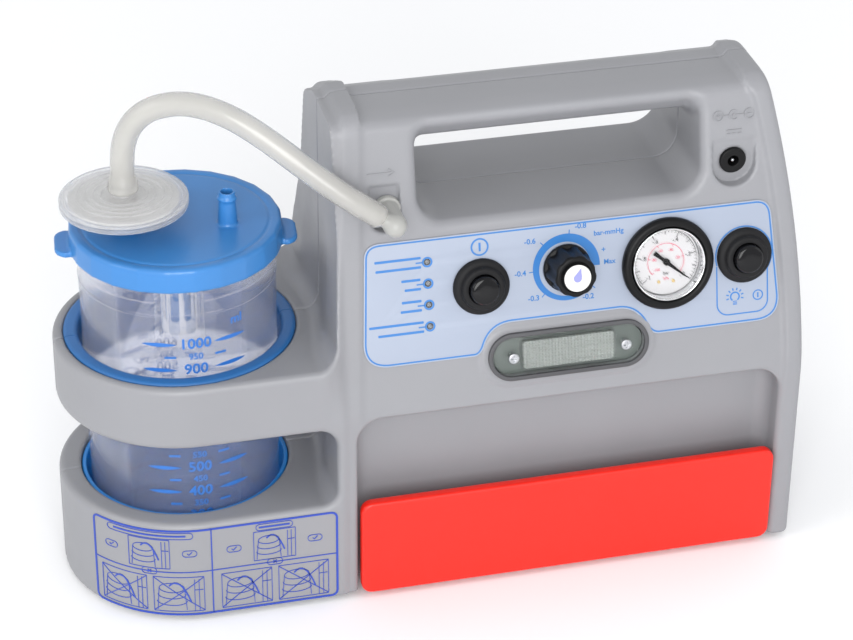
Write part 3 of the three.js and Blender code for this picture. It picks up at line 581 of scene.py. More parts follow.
def left_line(x, z):
    """Distance left of the casing's left end, which is drawn in towards the top."""
    out = LEFT_X - x
    return soft_max(out, out * math.cos(LEFT_DRAFT) + (z - DRAFT_Z) * math.sin(LEFT_DRAFT), 1)


def grip_tunnel(x, y, z):
    """The hand hole, with the handle's underside and its raked faces left standing in it."""
    left, right, floor, ceiling = GRIP
    hole = rounded_box(x, z, (left, floor), (right, 400), 13)
    rake = math.atan2(11, 13)
    handle = round_max((np.abs(y) - 20) * math.cos(rake) - (z - 241) * math.sin(rake), ceiling - z, 6)
    return round_max(hole, -handle, 7)


def front_recess(x, y, z):
    left, right, top, back = RECESS
    return round_max(rounded_box(x, z, (left, -40), (right, top), 13), back + y, 8)


def small_recess(x, y, z, centre, half, top, foot, floor):
    """A recess with a flat top and a round foot, cut back to an upright floor."""
    below = np.hypot(x - centre, np.minimum(z - foot - half, 0)) - half
    return round_max(round_max(below, z - top, 0.8), floor + y, 0.6)


def casing_field(x, y, z):
    """The outside of the whole casing, before its openings are cut."""
    jar_distance = np.hypot(x - JAR_X, y)
    middle = face_and_crown(y, z, PANEL_FRONT, PANEL_BEND_Z, HANDLE_TOP_Z, 4)
    plate_face = face_and_crown(y, z, PLATE_FRONT, PLATE_BEND_Z, PLATE_TOP_Z, 8)
    proud = np.clip(middle / 2.2, -0.3, 1.3)
    crest = 3 * ease(z, 250, 260)

    # left end plate, scooped out round the jar, and the two seats that grow from it
    side = round_max(left_line(x, z), SCOOP_R - jar_distance, 5)
    upper = round_max(UPPER_SEAT_Z - z, z - UPPER_SEAT_TOP_Z, 3)
    wall = round_min(round_min(side, upper, 10), z - LOWER_SEAT_TOP_Z, 8)
    seat_r = np.where(z < 80, LOWER_SEAT_R, UPPER_SEAT_R)
    plate_depth = PLATE_FRONT - np.maximum(z - PLATE_BEND_Z, 0) * math.tan(TILT)
    reach = seat_r + (plate_depth - seat_r) * ease(x, -64, -49)
    plan = np.where(x < JAR_X, jar_distance - seat_r, np.abs(y) - reach)
    left = round_max(wall, plan, 3.2)
    left = round_max(left, soft_max(plate_face, BASE_Z - z, 0.1) - 8 * (1 - ease(x, -60, -50)), 4)
    foot = -42.1 + (z - DRAFT_Z) * 0.0447
    top = -48.4 + (z - DRAFT_Z) * 0.0674 + crest
    left = np.maximum(left, (x - foot - (top - foot) * proud) / 2.2)

    # right end plate
    inwards = RIGHT_CURVE * np.maximum(z - RIGHT_CURVE_Z, 0) ** 2 + crest
    foot, top = 178.6 - inwards, 181.2 - inwards
    right = round_max(right_line(x, z), plate_face, 4)
    right = np.maximum(right, (foot + (top - foot) * proud - x) / 1.6)

    centre = np.maximum(middle, np.maximum(-52 - x, right_line(x, z) + 4))
    body = np.minimum(np.minimum(soft_min(left, centre, 0.8), soft_min(right, centre, 0.8)), left)
    return round_max(body, BASE_Z - z, 2.5)


def panel_coordinates(x, y, z):
    ahead, up = -(y + PANEL_FRONT), z - PANEL_BEND_Z
    return x, up * math.cos(TILT) - ahead * math.sin(TILT), up * math.sin(TILT) + ahead * math.cos(TILT)


def lamp_ledge(x, y, z):
    """The raised rim round the work lamp."""
    u, v, n = panel_coordinates(x, y, z)
    return round_max(stadium(u - LAMP[0], v - LAMP[1], 45.6, 16), n - 1, 0.9)


def panel_holes(x, y, z):
    """The openings that the panel's parts stand in."""
    u, v, n = panel_coordinates(x, y, z)
    holes = stadium(u - LAMP[0], v - LAMP[1], 40.1, 10.5)
    rounds = [(GAUGE, 19.6), (POWER, 11.2), (LIGHT, 11.2), (KNOB, 3.4)]
    rounds += [((LED_X, row), 1.7) for row in LED_ROWS]
    for centre, r in rounds:
        holes = np.minimum(holes, np.hypot(u - centre[0], v - centre[1]) - r)
    return np.maximum(holes, -9 - n)


def jar_bores(body, jar_distance, z):
    """Cuts the two seats' bores and the liner's flange out of the casing."""
    bores = ((SEAT_BORE_R, 8.2, 90, 1.5), (UPPER_BORE_R, 95, 170, 0.6), (FLANGE_R, 137.4, 170, 0.6))
    for r, low, high, edge in bores:
        body = cut(body, np.maximum(jar_distance - r, np.maximum(low - z, z - high)), edge)
    return body


def front_field(x, y, z):
    """The front half, hollow, with its recesses and the openings for the panel's parts."""
    body = casing_field(x, y, z)
    jar_distance = np.hypot(x - JAR_X, y)
    tunnel = grip_tunnel(x, y, z)
    recess = front_recess(x, y, z)
    sockets = np.minimum(small_recess(x, y, z, *DC_RECESS), small_recess(x, y, z, *INLET_RECESS))
    hollow = np.maximum(hollow_field(body, tunnel, jar_distance, x, z), WALL - np.minimum(recess, sockets))
    body = soft_min(cut(body, tunnel, 4.5), lamp_ledge(x, y, z), 1.2)
    body = cut(cut(body, recess, 1.5), sockets, 0.6)
    body = cut(np.maximum(body, -hollow), panel_holes(x, y, z), 0.3)
    body = cut(body, np.maximum(np.hypot(x - DC_AT[0], z - DC_AT[1]) - 6.6, y + 20), 0.3)
    return np.maximum(jar_bores(body, jar_distance, z), SEAM_GAP / 2 + y)


def rear_field(x, y, z):
    """The rear half, hollow, with its battery bay, vents and screw wells."""
    body = casing_field(x, y, z)
    jar_distance = np.hypot(x - JAR_X, y)
    tunnel = grip_tunnel(x, y, z)
    hollow = hollow_field(body, tunnel, jar_distance, x, z)
    body = cut(body, tunnel, 4.5)
    body = cut(body, round_max(rounded_box(x, z, (62, 12), (172, 96), 6), PANEL_FRONT - 2 - y, 0.5), 0.8)
    for left in range(-26, 19, 9):
        body = cut(body, np.maximum(rounded_box(x, z, (left, 62), (left + 4, 98), 1.9), 50 - y), 0.7)
    for u, v, seat in SCREW_WELLS:
        body = cut(body, np.maximum(np.hypot(x - u, z - v) - 4.2, seat - y), 0.7)
    body = np.maximum(body, -hollow)
    return np.maximum(jar_bores(body, jar_distance, z), SEAM_GAP / 2 - y)


def hollow_field(body, tunnel, jar_distance, x, z):
    """The room inside the casing's walls."""
    return np.maximum.reduce(np.broadcast_arrays(
        body + WALL, LEFT_X + 4 - x, SCOOP_R + 4 - jar_distance, BASE_Z + 3.5 - z, 6 - tunnel))


def shells():
    left, right = SHELL_LOW.x - 3, SHELL_HIGH.x + 3
    low, high = BASE_Z - 3, SHELL_HIGH.z + 3
    for node, field, front, back in (("front_shell", front_field, SHELL_LOW.y - 3, 2),
                                     ("rear_shell", rear_field, -2, PLATE_FRONT + 3)):
        moulded(node + "_moulding", field, (left, front, low), (right, back, high), SHELL_STEP, CASING,
                nodes=[node], smooth=50)


# ---- camera ---------------------------------------------------------------------------------
CAMERA_AT = (-308.5, -1214.4, 881.1)
CAMERA_HEADING = math.radians(14.4696)
CAMERA_DIP = math.radians(31.14)
CAMERA_ROLL = math.radians(0.59)
CAMERA_LENS = 118.8


def camera():
    """The view from the front left and above."""
    data = bpy.data.cameras.new("camera")
    data.lens = CAMERA_LENS
    data.sensor_width = 36
    data.clip_end = 20
    view = bpy.data.objects.new("camera", data)
    bpy.context.scene.collection.objects.link(view)
    turn = Matrix.Rotation(-CAMERA_HEADING, 4, "Z") @ Matrix.Rotation(math.pi / 2 - CAMERA_DIP, 4, "X")
    view.matrix_world = Matrix.Translation(metres(CAMERA_AT)) @ turn @ Matrix.Rotation(CAMERA_ROLL, 4, "Z")
    bpy.context.scene.camera = view


# ---- hose -----------------------------------------------------------------------------------
HOSE_R = 6.0
HOSE_BORE_R = 3.9
# from the filter's upper spigot over to the inlet elbow
HOSE_ROUTE = (
    (-150, -3, 220.6), (-150, -3, 227.3), (-149.8, -3, 236.5), (-148.8, -3, 245.5), (-146, -3.6, 254),
    (-141, -5.4, 261.3), (-133.2, -8.6, 267), (-122, -13.6, 270.2), (-110.6, -19.8, 269.8),
    (-99.6, -26.2, 266.3), (-91, -31, 261.6), (-82.8, -35.4, 256), (-74.4, -39.8, 249.6), (-66, -44, 243),
    (-57.4, -47.8, 236.3), (-48.7, -50.9, 229.8), (-40.8, -53, 224.4), (-31.4, -55.5, 218),
)


def smooth_route(points, per_span=8):
    """A smooth curve through the points."""
    route = []
    ends = [points[0]] + list(points) + [points[-1]]
    for i in range(len(points) - 1):
        a, b, c, d = (Vector(p) for p in ends[i:i + 4])
        for k in range(per_span):
            t = k / per_span
            route.append(0.5 * (2 * b + (c - a) * t + (2 * a - 5 * b + 4 * c - d) * t ** 2
                                + (3 * b - a - 3 * c + d) * t ** 3))
    return route + [Vector(points[-1])]


def hose_radius(s, total):
    """Flared over the filter's spigot, and rounded off at both ends."""
    flare = 1.3 * (1 - ease(s, 5, 11)) + 0.5 * np.exp(-((s - 1.8) / 1.1) ** 2)
    rounding = 0.9 * (1 - ease(s, 0, 1.1)) + 1.6 * ease(s, total - 1.9, total)
    return float(HOSE_R + flare - rounding)


def tube(route, radius, bore, steps=40):
    """Points and faces of a tube whose outer radius depends on the distance along it, and its length."""
    travelled = [0.0]
    for a, b in zip(route, route[1:]):
        travelled.append(travelled[-1] + (b - a).length)
    total = travelled[-1]
    along = [(b - a).normalized() for a, b in zip(route, route[1:])]
    along.append(along[-1])
    side = Vector((0, 1, 0)).cross(along[0]).normalized()
    rings = []
    for p, t, s in zip(route, along, travelled):
        side = (side - t * side.dot(t)).normalized()
        rings.append((p, side, t.cross(side), radius(s, total)))
    rings += [(p, e, f, bore) for p, e, f, outer in reversed(rings)]
    points = []
    for p, e, f, r in rings:
        for k in range(steps):
            angle = 2 * math.pi * k / steps
            points.append(tuple(p + (e * math.cos(angle) + f * math.sin(angle)) * r))
    faces = []
    for i in range(len(rings)):
        a, b = i * steps, (i + 1) % len(rings) * steps
        for k in range(steps):
            m = (k + 1) % steps
            faces.append([a + k, a + m, b + m, b + k])
    return *welded(points, faces), total


def hose():
    route = smooth_route(HOSE_ROUTE)
    points, faces, length = tube(route, hose_radius, HOSE_BORE_R)
    piece = add_mesh("suction_hose", points, faces, HOSE, body="lid_assembly", nodes=["hose"])


# ---- jar, lid and filter --------------------------------------------------------------------
FIGURE_HEIGHT = 0.72
MARK_PITCH = 14.56 / 2
# height of the figure, start, end, pieces and width of the bars beside it
HUNDRED_MARK = (5.8, 9.6, 26.6, 16, 2.2)
FIFTY_MARK = (3.5, 9.8, 15.6, 6, 1.2)


def seat_liners():
    ring = [(51.5, 105.6, 0.3), (53.1, 105.6, 0.3), (53.1, 137.7, 0.5), (58.9, 137.7, 0.3),
            (58.9, 139.2, 0.9), (57.6, 140, 1), (52.9, 140, 1), (51.5, 138.6, 1)]
    for node, start in (("seat_liner_front", 180), ("seat_liner_rear", 0)):
        turned(node + "_ring", ring, JAR, DEEP_BLUE, [node], steps=90, closed=True,
               span=(start + 0.25, start + 179.75))


def seat_cup():
    cup = [(0, 8.6), (53.7, 8.6, 2), (53.7, 57.4, 0.5), (53.2, 58.2, 0.5), (51.6, 58.2, 0.5),
           (51.2, 57.4, 0.5), (51.2, 10.8, 3), (0, 10.8)]
    # The cup's colour carries painted light: it is deep_blue made lighter where the jar shades it.
    turned("jar_seat_cup_moulding", cup, JAR, PAINTED_LIGHT_CUP_BLUE, ["jar_seat_cup"])


def jar_wall():
    wall = [(0, 11.2), (42, 11.2, 2), (44.8, 11.25, 1.5), (48.8, 15.2, 5), (49.62, 172, 0.2),
            (49.95, 172.6, 0.4), (49.95, 173.4, 0.4), (49.65, 174, 0.2), (49.7, 180, 0.2), (50, 181.4, 1),
            (50, 195.5, 0.7), (48, 195.5, 0.7), (48, 184, 1), (46.8, 16.2, 5), (43.8, 13.6, 2), (0, 13.6)]
    turned("jar_vessel_wall", wall, JAR, JAR_CLEAR, ["jar"], 0.4, 180, smooth=50, body="jar_vessel")


def round_the_jar(facing):
    """Bends a flat print round the jar, centred at an angle about the jar's axis."""
    def bend(u, v, n):
        jar_r = 48.8 + (v - 15.2) / 156.8 * 0.82
        angle = math.radians(facing) + u / jar_r
        r = jar_r + n + 0.02
        return (JAR_X + r * math.cos(angle), r * math.sin(angle), v)
    return bend


def graduations():
    for name, facing in (("front_graduations", -90), ("rear_graduations", 90)):
        marks = Print(0, 0.07)
        for i in range(1, 21):
            v = 11.2 + MARK_PITCH * i
            hundred = i % 2 == 0
            size, start, end, pieces, width = HUNDRED_MARK if hundred else FIFTY_MARK
            marks.text(str(50 * i), 0, v, size / FIGURE_HEIGHT)
            for side in (-1, 1):
                marks.line(straight((side * start, v), (side * end, v), pieces), width, pointed=hundred)
        marks.text("ml", 22, 166, 5 / FIGURE_HEIGHT)
        marks.piece(name, JAR_INK, body="jar_vessel", bend=round_the_jar(facing))


def lid_field(x, y, z):
    """The lid with its faceted skirt, groove, two tabs, spare port and the filter's socket."""
    px = x - JAR_X
    r = np.hypot(px, y)
    facet = r * np.cos(sector(px, y, 24))
    skirt = round_max(facet - 53.35 + 0.06 * (z - 190), r - 53.75, 1.2)
    outside = round_max(round_max(skirt, z - 200.5, 2.2), 188 - z, 0.8)
    outside = cut(outside, np.hypot(r - 47, z - 200.9) - 1, 0.4)
    body = cut(outside, round_max(r - 50.6, z - 198, 0.8), 0.5)
    for angle in (-6.3, 173.7):
        c, s = math.cos(math.radians(angle)), math.sin(math.radians(angle))
        tab = rounded_box(px * c + y * s, -px * s + y * c, (49, -12), (60.3, 12), 7)
        tab = round_max(tab, np.abs(z - 189.5) - 1.5, 0.7)
        body = round_min(body, round_max(tab, 51.5 - r, 0.1), 1.6)
    port = np.hypot(x + 100, y + 10.3)
    port_wall = round_max(round_max(port - 4.9 + 0.8 * ease(z, 200, 218), z - 218.5, 0.6), 199 - z, 0.1)
    barb = round_max(port - 5.1, np.abs(z - 214.6) - 0.9, 0.8)
    body = round_min(body, np.minimum(port_wall, barb), 1)
    socket = np.hypot(x + 150, y + 3)
    collar = round_max(round_max(socket - 7 + 0.08 * (z - 199), z - 206, 0.6), 199 - z, 0.1)
    body = round_min(body, collar, 1.2)
    return cut(cut(body, port - 3, 0.4), socket - 4.7, 0.4)


def lid():
    moulded("lid_moulding", lid_field, (JAR_X - 62, -62, 185), (JAR_X + 62, 62, 220), 0.8, BRIGHT_BLUE,
            body="lid_assembly", nodes=["jar_lid"])
    turned("lid_seal", [(46, 195.8), (50.2, 195.8), (50.2, 197.7), (46, 197.7)], JAR, SEAL, ["lid_gasket"],
           closed=True, body="lid_assembly")


def filter_disc():
    lower = [(3, 203), (4.4, 203), (4.6, 212.5, 0.2), (29, 212.5, 0.5), (30.6, 212.9, 0.5),
             (31.9, 213.6, 0.5), (31.9, 215.85, 0.5), (28.6, 215.85), (28.2, 214.4, 0.3), (3, 214)]
    upper = [(2.4, 217.6), (28.4, 217.6, 0.3), (28.8, 216.15), (31.9, 216.15, 0.5), (31.9, 217.6, 0.5),
             (30.4, 218, 0.3), (30.2, 219, 0.6), (28, 219.35, 0.5), (27.4, 219, 0.3)]
    for r in (23.5, 19.5, 15.5, 11.5):
        ridge = ((0.9, 218.9, 0.2), (0.45, 219.4, 0.3), (-0.45, 219.4, 0.3), (-0.9, 218.9, 0.2))
        upper += [(r + out, z, corner) for out, z, corner in ridge]
    upper += [(6.2, 219, 0.8), (5.4, 220.2, 1), (4.2, 225.6, 0.4), (3.8, 226.9, 0.4), (2.4, 226.9, 0.3)]
    sheet = [(0, 215.7), (27.6, 215.7), (27.6, 216.3), (0, 216.3)]
    for name, node, outline, finish, r, closed in (
            ("filter_lower_half", "filter_lower", lower, FILTER, 0.3, True),
            ("filter_upper_half", "filter_upper", upper, FILTER, 0.3, True),
            ("filter_sheet", "filter_membrane", sheet, PAPER, 0.1, False)):
        turned(name, outline, PORT, finish, [node], r, closed=closed, body="lid_assembly")


def cage_field(x, y, z):
    """The float's cage: a ribbed sleeve with slots, open below within a narrow foot."""
    px = x - JAR_X
    r = np.hypot(px, y)
    ribs = 0.45 * (0.5 + 0.5 * np.cos((z - 170) * 2 * np.pi / 4.2)) * (z > 170)
    sleeve = round_max(round_max(r - 9.1 - ribs, 8 - r, 0.3), np.maximum(z - 197.6, 138 - z), 0.5)
    foot = np.maximum(np.maximum(r - 9, 4 - r), np.maximum(z - 139.6, 138 - z))
    slot = rounded_box(r * np.sin(sector(px, y, 8)), z, (-2.2, 145), (2.2, 167), 2.1)
    return cut(np.minimum(sleeve, foot), np.maximum(slot, 6 - r), 0.4)


def cage_and_float():
    moulded("float_cage_tube", cage_field, (JAR_X - 11, -11, 136), (JAR_X + 11, 11, 199), 0.45, WHITE,
            body="lid_assembly", nodes=["float_cage"])
    float_outline = [(0, 140.4), (6.8, 140.4, 1.5), (6.8, 172, 1), (1.5, 176.6, 1), (0, 177)]
    turned("shutoff_float_body", float_outline, JAR, BRIGHT_BLUE, ["float"], body="shutoff_float")


def elbow_field(x, y, z):
    """The inlet elbow: a barrel with its nut, a round corner, and the arm that the hose slips over."""
    root, start = Vector((-25.8, -27, 214.1)), Vector((-25.8, -36.9, 214.1))
    corner, end = Vector((-25.8, -57, 214.1)), Vector((-40.8, -53, 224.4))

    def rod(a, b, r, edge=0.8):
        axis = (b - a).normalized()
        t = (x - a.x) * axis.x + (y - a.y) * axis.y + (z - a.z) * axis.z
        px, py, pz = x - a.x - t * axis.x, y - a.y - t * axis.y, z - a.z - t * axis.z
        return round_max(np.sqrt(px ** 2 + py ** 2 + pz ** 2) - r, np.maximum(-t, t - (b - a).length), edge)

    ball = np.sqrt((x - corner.x) ** 2 + (y - corner.y) ** 2 + (z - corner.z) ** 2) - 5.7
    nut = rod(start, start + Vector((0, -3.4, 0)), 6.9, 0.6)
    body = round_min(round_min(rod(start, corner, 5.6), ball, 1), rod(corner, end, 3.7), 1.5)
    return np.minimum(round_min(body, nut, 0.5), rod(root, start, 4.2))


def elbow():
    moulded("inlet_elbow_moulding", elbow_field, (-50, -65, 205), (-16, -24, 234), 0.5, MILKY,
            nodes=["inlet_elbow"])


# ---- control panel --------------------------------------------------------------------------
FILM = 0.7
INK_TOP = FILM + 0.06
DIAL_MARKS = (-1.38, -1.33)
DIAL_START = -40
DIAL_SWEEP = 260
FRAME_CORNER = 6


def curve_points(start, parts, steps=10):
    """An outline of straight runs (a point) and curves (a control point and an end)."""
    points = [start]
    for part in parts:
        if len(part) == 2:
            points.append(part)
            continue
        here, (cu, cv, eu, ev) = points[-1], part
        for i in range(1, steps + 1):
            t = i / steps
            points.append(((1 - t) ** 2 * here[0] + 2 * t * (1 - t) * cu + t * t * eu,
                           (1 - t) ** 2 * here[1] + 2 * t * (1 - t) * cv + t * t * ev))
    return points[:-1]


def film_outline():
    return curve_points((-29.5, 27.3), [
        (15, 27.3), (18.6, 27.6, 20.4, 33), (24, 43, 35, 43.1), (91.5, 43.1), (100.5, 42.6, 105, 33),
        (107.5, 27.6, 112, 27.3), (165, 27.3), (177, 27.8, 176.8, 40), (173, 84), (172, 91.6, 165, 92),
        (-31.5, 92), (-39, 91.6, -39.2, 84), (-41.7, 40), (-41.8, 28, -29.5, 27.3)])


def inset(loop, distance):
    """The anticlockwise outline moved in by a distance."""
    result = []
    for i, p in enumerate(loop):
        along = (Vector(loop[(i + 1) % len(loop)]) - Vector(loop[i - 1])).normalized()
        result.append((p[0] - along.y * distance, p[1] + along.x * distance))
    return result


def panel_film():
    holes = [circle(*POWER, 11.6), circle(*LIGHT, 11.6), circle(*KNOB, 4.6), circle(*GAUGE, 20)]
    holes += [circle(LED_X, v, 1.7, 20) for v in LED_ROWS]
    plate("panel_film", [film_outline()] + holes, 0.3, FILM, 0.12, PANEL, LABEL, "control_panel_overlay")


def power_symbol(marks, u, v, size, width):
    marks.ring(u, v, size - width / 2, width, 40)
    marks.line([(u, v - size * 0.48), (u, v + size * 0.48)], width * 1.2)


def bulb_symbol(marks, u, v):
    marks.line(arc(u, v + 0.5, 2.3, -55, 235, 24), 0.8)
    for drop in (-2, -2.9, -3.6):
        marks.line([(u - 1.1, v + drop), (u + 1.1, v + drop)], 0.45)
    for k in range(8):
        marks.spoke(u, v + 0.5, 3.4, 4.75, -15 + 30 * k, 0.7)


def panel_prints():
    lines = Print(FILM, INK_TOP)
    lines.line(inset(film_outline(), 1.1), 0.8, closed=True)
    power_symbol(lines, 19.7, 84.4, 4.65, 0.9)
    bulb_symbol(lines, 153, 41.5)
    power_symbol(lines, 165.4, 41.5, 2.85, 0.65)
    light_frame = [(143.4, 59), (143.4, 38.6)] + arc(149.4, 38.6, FRAME_CORNER, 180, 270, 8)[1:]
    light_frame += arc(164.6, 38.6, FRAME_CORNER, 270, 360, 8) + [(170.6, 56)] + arc(*LIGHT, 15.1, -32, 197)
    lines.line(light_frame, 0.7)
    for row in LED_ROWS:
        lines.ring(LED_X, row, 2.25, 0.95, 28)
        lines.line([(LED_X - 5.9, row), (LED_X - 2.4, row)], 0.75)
    lines.piece("panel_lines", PALE_INK, PANEL)

    bars = Print(FILM, INK_TOP)
    for row, lengths in zip(LED_ROWS, ((23.5, 23.2), (9.8, 8.3), (10.1, 10.9), (27.9, 23.5))):
        for rise, length in zip((2.5, -2.3), lengths):
            end = LED_X - 3.8 if length < 12 else LED_X - 3.2
            bars.shape(rounded_rectangle(end - length, end, row + rise - 0.65, row + rise + 0.65, 0.4, 3))
    bars.piece("status_bars", PALE_INK, PANEL)


def knob_scale():
    """A band that widens clockwise round the knob, with ticks and figures outside it."""
    u, v = KNOB
    marks = Print(FILM, INK_TOP)
    steps, start, sweep = 60, 319, -322
    inner = [polar(u, v, 15.6 - 3.2 * i / steps, start + sweep * i / steps) for i in range(steps + 1)]
    marks.shape(arc(u, v, 17.5, start, start + sweep, steps) + inner[::-1])
    for angle in (319, 227.5, 182, 132.6, 83.8):
        marks.spoke(u, v, 17.4, 19.5, angle, 0.5)
    labels = (("-0.2", 11, -16.9, 3.9), ("-0.3", -17.5, -14.5, 3.9), ("-0.4", -24, -0.8, 3.9),
              ("-0.6", -18.5, 15.4, 3.9), ("-0.8", 8, 20.6, 3.9), ("+", 19.6, 6.8, 3.9),
              ("Max", 22.6, 0.3, 3.6), ("bar-mmHg", 22.5, 15.8, 3.6))
    for words, across, up, size in labels:
        marks.text(words, u + across, v + up, size)
    marks.piece("knob_scale", BLUE_INK, PANEL)


def push_button(which, centre):
    collar = [(7.9, -13), (11, -13), (11, 1), (14.6, 1), (14.6, 2.2, 0.8), (13.4, 3.6, 1), (11.4, 4.1, 1),
              (10.9, 6.5, 0.8), (10, 7.2, 0.6), (7.9, 7.2, 0.4)]
    cap = [(0, -1.5), (7.5, -1.5), (7.5, 9.4, 1.2), (6.6, 10.7, 1.6), (4, 11, 2), (0, 11)]
    switch = [(0, -28), (7.3, -28, 1), (7.3, -4.6, 0.6), (0, -4.6)]
    place = on_panel(centre)
    turned(which + "_collar_ring", collar, place, DULL_BLACK, [which + "_collar"], 0.3, closed=True)
    turned(which + "_button_cap", cap, place, GLOSS_BLACK, [which + "_button"], body=which + "_button")
    turned(which + "_switch", switch, place, SATIN_BLACK, [which + "_switch_body"])


def knob_field(u, v, n):
    """The regulator's hand wheel: a skirt, nine flutes, and a recess for its cap."""
    r = np.hypot(u, v)
    grip = round_max(r - 11.7 + 0.077 * (n - 4.2), n - 18.6, 1.4)
    angle = sector(u, v, 9, math.radians(70))
    flute = np.hypot(r * np.cos(angle) - 13.4, r * np.sin(angle)) - 3.1
    grip = cut(grip, round_max(flute, 3.4 - n, 0.6), 0.9)
    skirt = round_max(round_max(r - 12.4, n - 3.3, 0.8), 1.4 - n, 0.2)
    body = round_max(round_min(grip, skirt, 0.5), 1.4 - n, 0.2)
    body = cut(body, np.maximum(r - 7.7, 18 - n), 0.3)
    return cut(body, np.maximum(r - 3.2, n - 13.8), 0.2)


def regulator():
    """The hand wheel with its cap, and the printed face whose drop points at the setting."""
    place = on_panel(KNOB)
    moulded("regulator_hand_wheel", knob_field, (-14, -14, 0), (14, 14, 21), 0.4, SATIN_BLACK, place=place,
            body="regulator", nodes=["regulator_knob"], smooth=45)
    turned("regulator_cap", [(0, 18.2), (7.3, 18.2), (7.3, 20, 0.5), (6.8, 20.4, 0.4), (0, 20.4)], place,
           SATIN_BLACK, ["knob_cap"], body="regulator")
    face = Print(20.42, 20.5)
    face.shape(circle(0, 0, 6.9, 40))
    face.piece("regulator_cap_face", PAPER, place, "regulator")
    drop = [(0, 5.6), (0.9, 3.2), (1.9, 1.4)] + arc(0, 0, 2.1, 35, -215, 20) + [(-0.9, 3.2)]
    pointer = Print(20.52, 20.6)
    pointer.shape(drop)
    turn = Matrix.Rotation(math.radians(-20), 4, "Z")
    pointer.piece("regulator_pointer", POINTER_INK, place @ turn, "regulator")


def gauge():
    place = on_panel(GAUGE)
    rim = [(19.7, 1), (24.1, 1), (24.1, 3.2, 0.5), (23, 5, 1.2), (20.8, 5.2, 1), (19.7, 4.4, 0.8)]
    can = [(0, -22), (19.2, -22, 1.5), (19.4, 4.2, 0.5), (18.7, 5.2, 0.5), (17.9, 4.4, 0.4), (17.9, -2.4),
           (0, -2.4)]
    screw = [(0, -1.4), (0.9, -1.4), (0.8, -1, 0.2), (0, -0.9)]
    stop = [(0, -1.4), (0.35, -1.4), (0.35, -0.5, 0.15), (0, -0.4)]
    turned("gauge_rim", rim, place, SATIN_BLACK, ["gauge_bezel"], 0.3, closed=True)
    turned("gauge_can", can, place, CHROME, ["gauge_case"], 0.3)
    turned("gauge_face", [(0, -2), (17.5, -2), (17.5, -1.4), (0, -1.4)], place, DIAL, ["gauge_dial"], 0.1)
    turned("gauge_window", [(0, 2.4), (17.5, 2.4), (17.5, 3.4), (0, 3.4)], place, LENS_CLEAR,
           ["gauge_glass"], 0.15)
    dial_marks(place)
    for centre in ((113.1, 54.1), (120.8, 53.9)):
        turned("dial_screw", screw, on_panel(centre), BRASS, r=0.1, steps=24)
    turned("needle_stop", stop, on_panel((124.6, 55.8)), STEEL, r=0.1, steps=16)
    needle(place)


def dial_marks(place):
    """The outer scale in black and the inner one in red."""
    black, red = Print(*DIAL_MARKS), Print(*DIAL_MARKS)
    for i in range(41):
        reach = 3.1 if i % 8 == 0 else 2.3 if i % 4 == 0 else 1.3
        width = 0.5 if i % 4 == 0 else 0.3
        black.spoke(0, 0, 16.6, 16.6 - reach, DIAL_START + DIAL_SWEEP * i / 40, width)
    black.line(arc(0, 0, 16.6, DIAL_START, DIAL_START + DIAL_SWEEP, 60), 0.3)
    red.line(arc(0, 0, 9.6, DIAL_START, DIAL_START + DIAL_SWEEP, 60), 0.35)
    figures = (("0", "0"), ("-.2", "-20"), ("-.4", "-40"), ("-.6", "-60"), ("-.8", "-80"), ("-1", "-100"))
    for i, (outer, inner) in enumerate(figures):
        angle = DIAL_START + DIAL_SWEEP * i / 5
        black.text(outer, *polar(0, 0, 12.1, angle), 3)
        red.spoke(0, 0, 9.6, 8.4, angle, 0.4)
        red.text(inner, *polar(0, 0, 6.4, angle), 2)
    black.text("bar", 0, -6.2, 2.4)
    red.text("kPa", 0, -9, 2)
    black.piece("gauge_marks", BLACK_INK, place)
    red.piece("gauge_inner_marks", RED_INK, place)


def needle(place):
    """The tapered needle with its round hub and tail, pointing at zero."""
    blade = [(14.2, -0.2), (14.2, 0.2), (2, 0.95), (-4, 0.85), (-8.4, 1.2), (-8.4, -1.2), (-4, -0.85),
             (2, -0.95)]
    points, faces = cut_out([blade], 0, 0.45, 0.05)
    hub_points, hub_faces = lathe([(0, -0.9), (1.7, -0.9), (1.7, 0.9), (1.3, 1.2), (0, 1.2)], 32)
    faces += [[len(points) + i for i in face] for face in hub_faces]
    add_mesh("needle_blade", points + hub_points, faces, SATIN_BLACK,
             place @ Matrix.Rotation(math.radians(-40.7), 4, "Z"), "gauge_pointer", ["gauge_needle"], 35)


def block_field(u, v, n):
    """The light block behind the window, its face cut into rows of small prisms."""
    ribs = 0.5 * np.abs(np.sin(v * np.pi / 1.7)) + 0.5 * np.abs(np.sin(u * np.pi / 1.7))
    outline = rounded_box(u, v, (-24, -7.2), (24, 7.2), 1.5)
    return round_max(outline, np.maximum(n - 1.5 - ribs, -1.4 - n), 0.2)


def lens_field(u, v, n):
    """The window: a crowned cover, ribbed over the block, hollow behind, with two screw holes."""
    body = round_max(stadium(u, v, 39.5, 9.9), np.maximum(n - 3.5, -1.2 - n), 0.5)
    crown = round_max(stadium(u, v, 38.3, 8.7), np.maximum(n - 4.7, -1 - n), 0.9)
    body = round_min(body, crown, 0.4)
    ribs = 0.3 * np.cos(v * 2 * np.pi / 2.1)
    body = cut(body, np.maximum(rounded_box(u, v, (-24, -7), (24, 7), 1.5), 4.45 + ribs - n), 0.15)
    body = cut(body, np.maximum(rounded_box(u, v, (-25, -8), (25, 8), 2), n - 2.6), 0.3)
    for centre in (-29.6, 29.6):
        r = np.hypot(u - centre, v)
        body = cut(body, np.minimum(r - 1.8, np.maximum(r - 3.1, 3.4 - n)), 0.2)
    return body


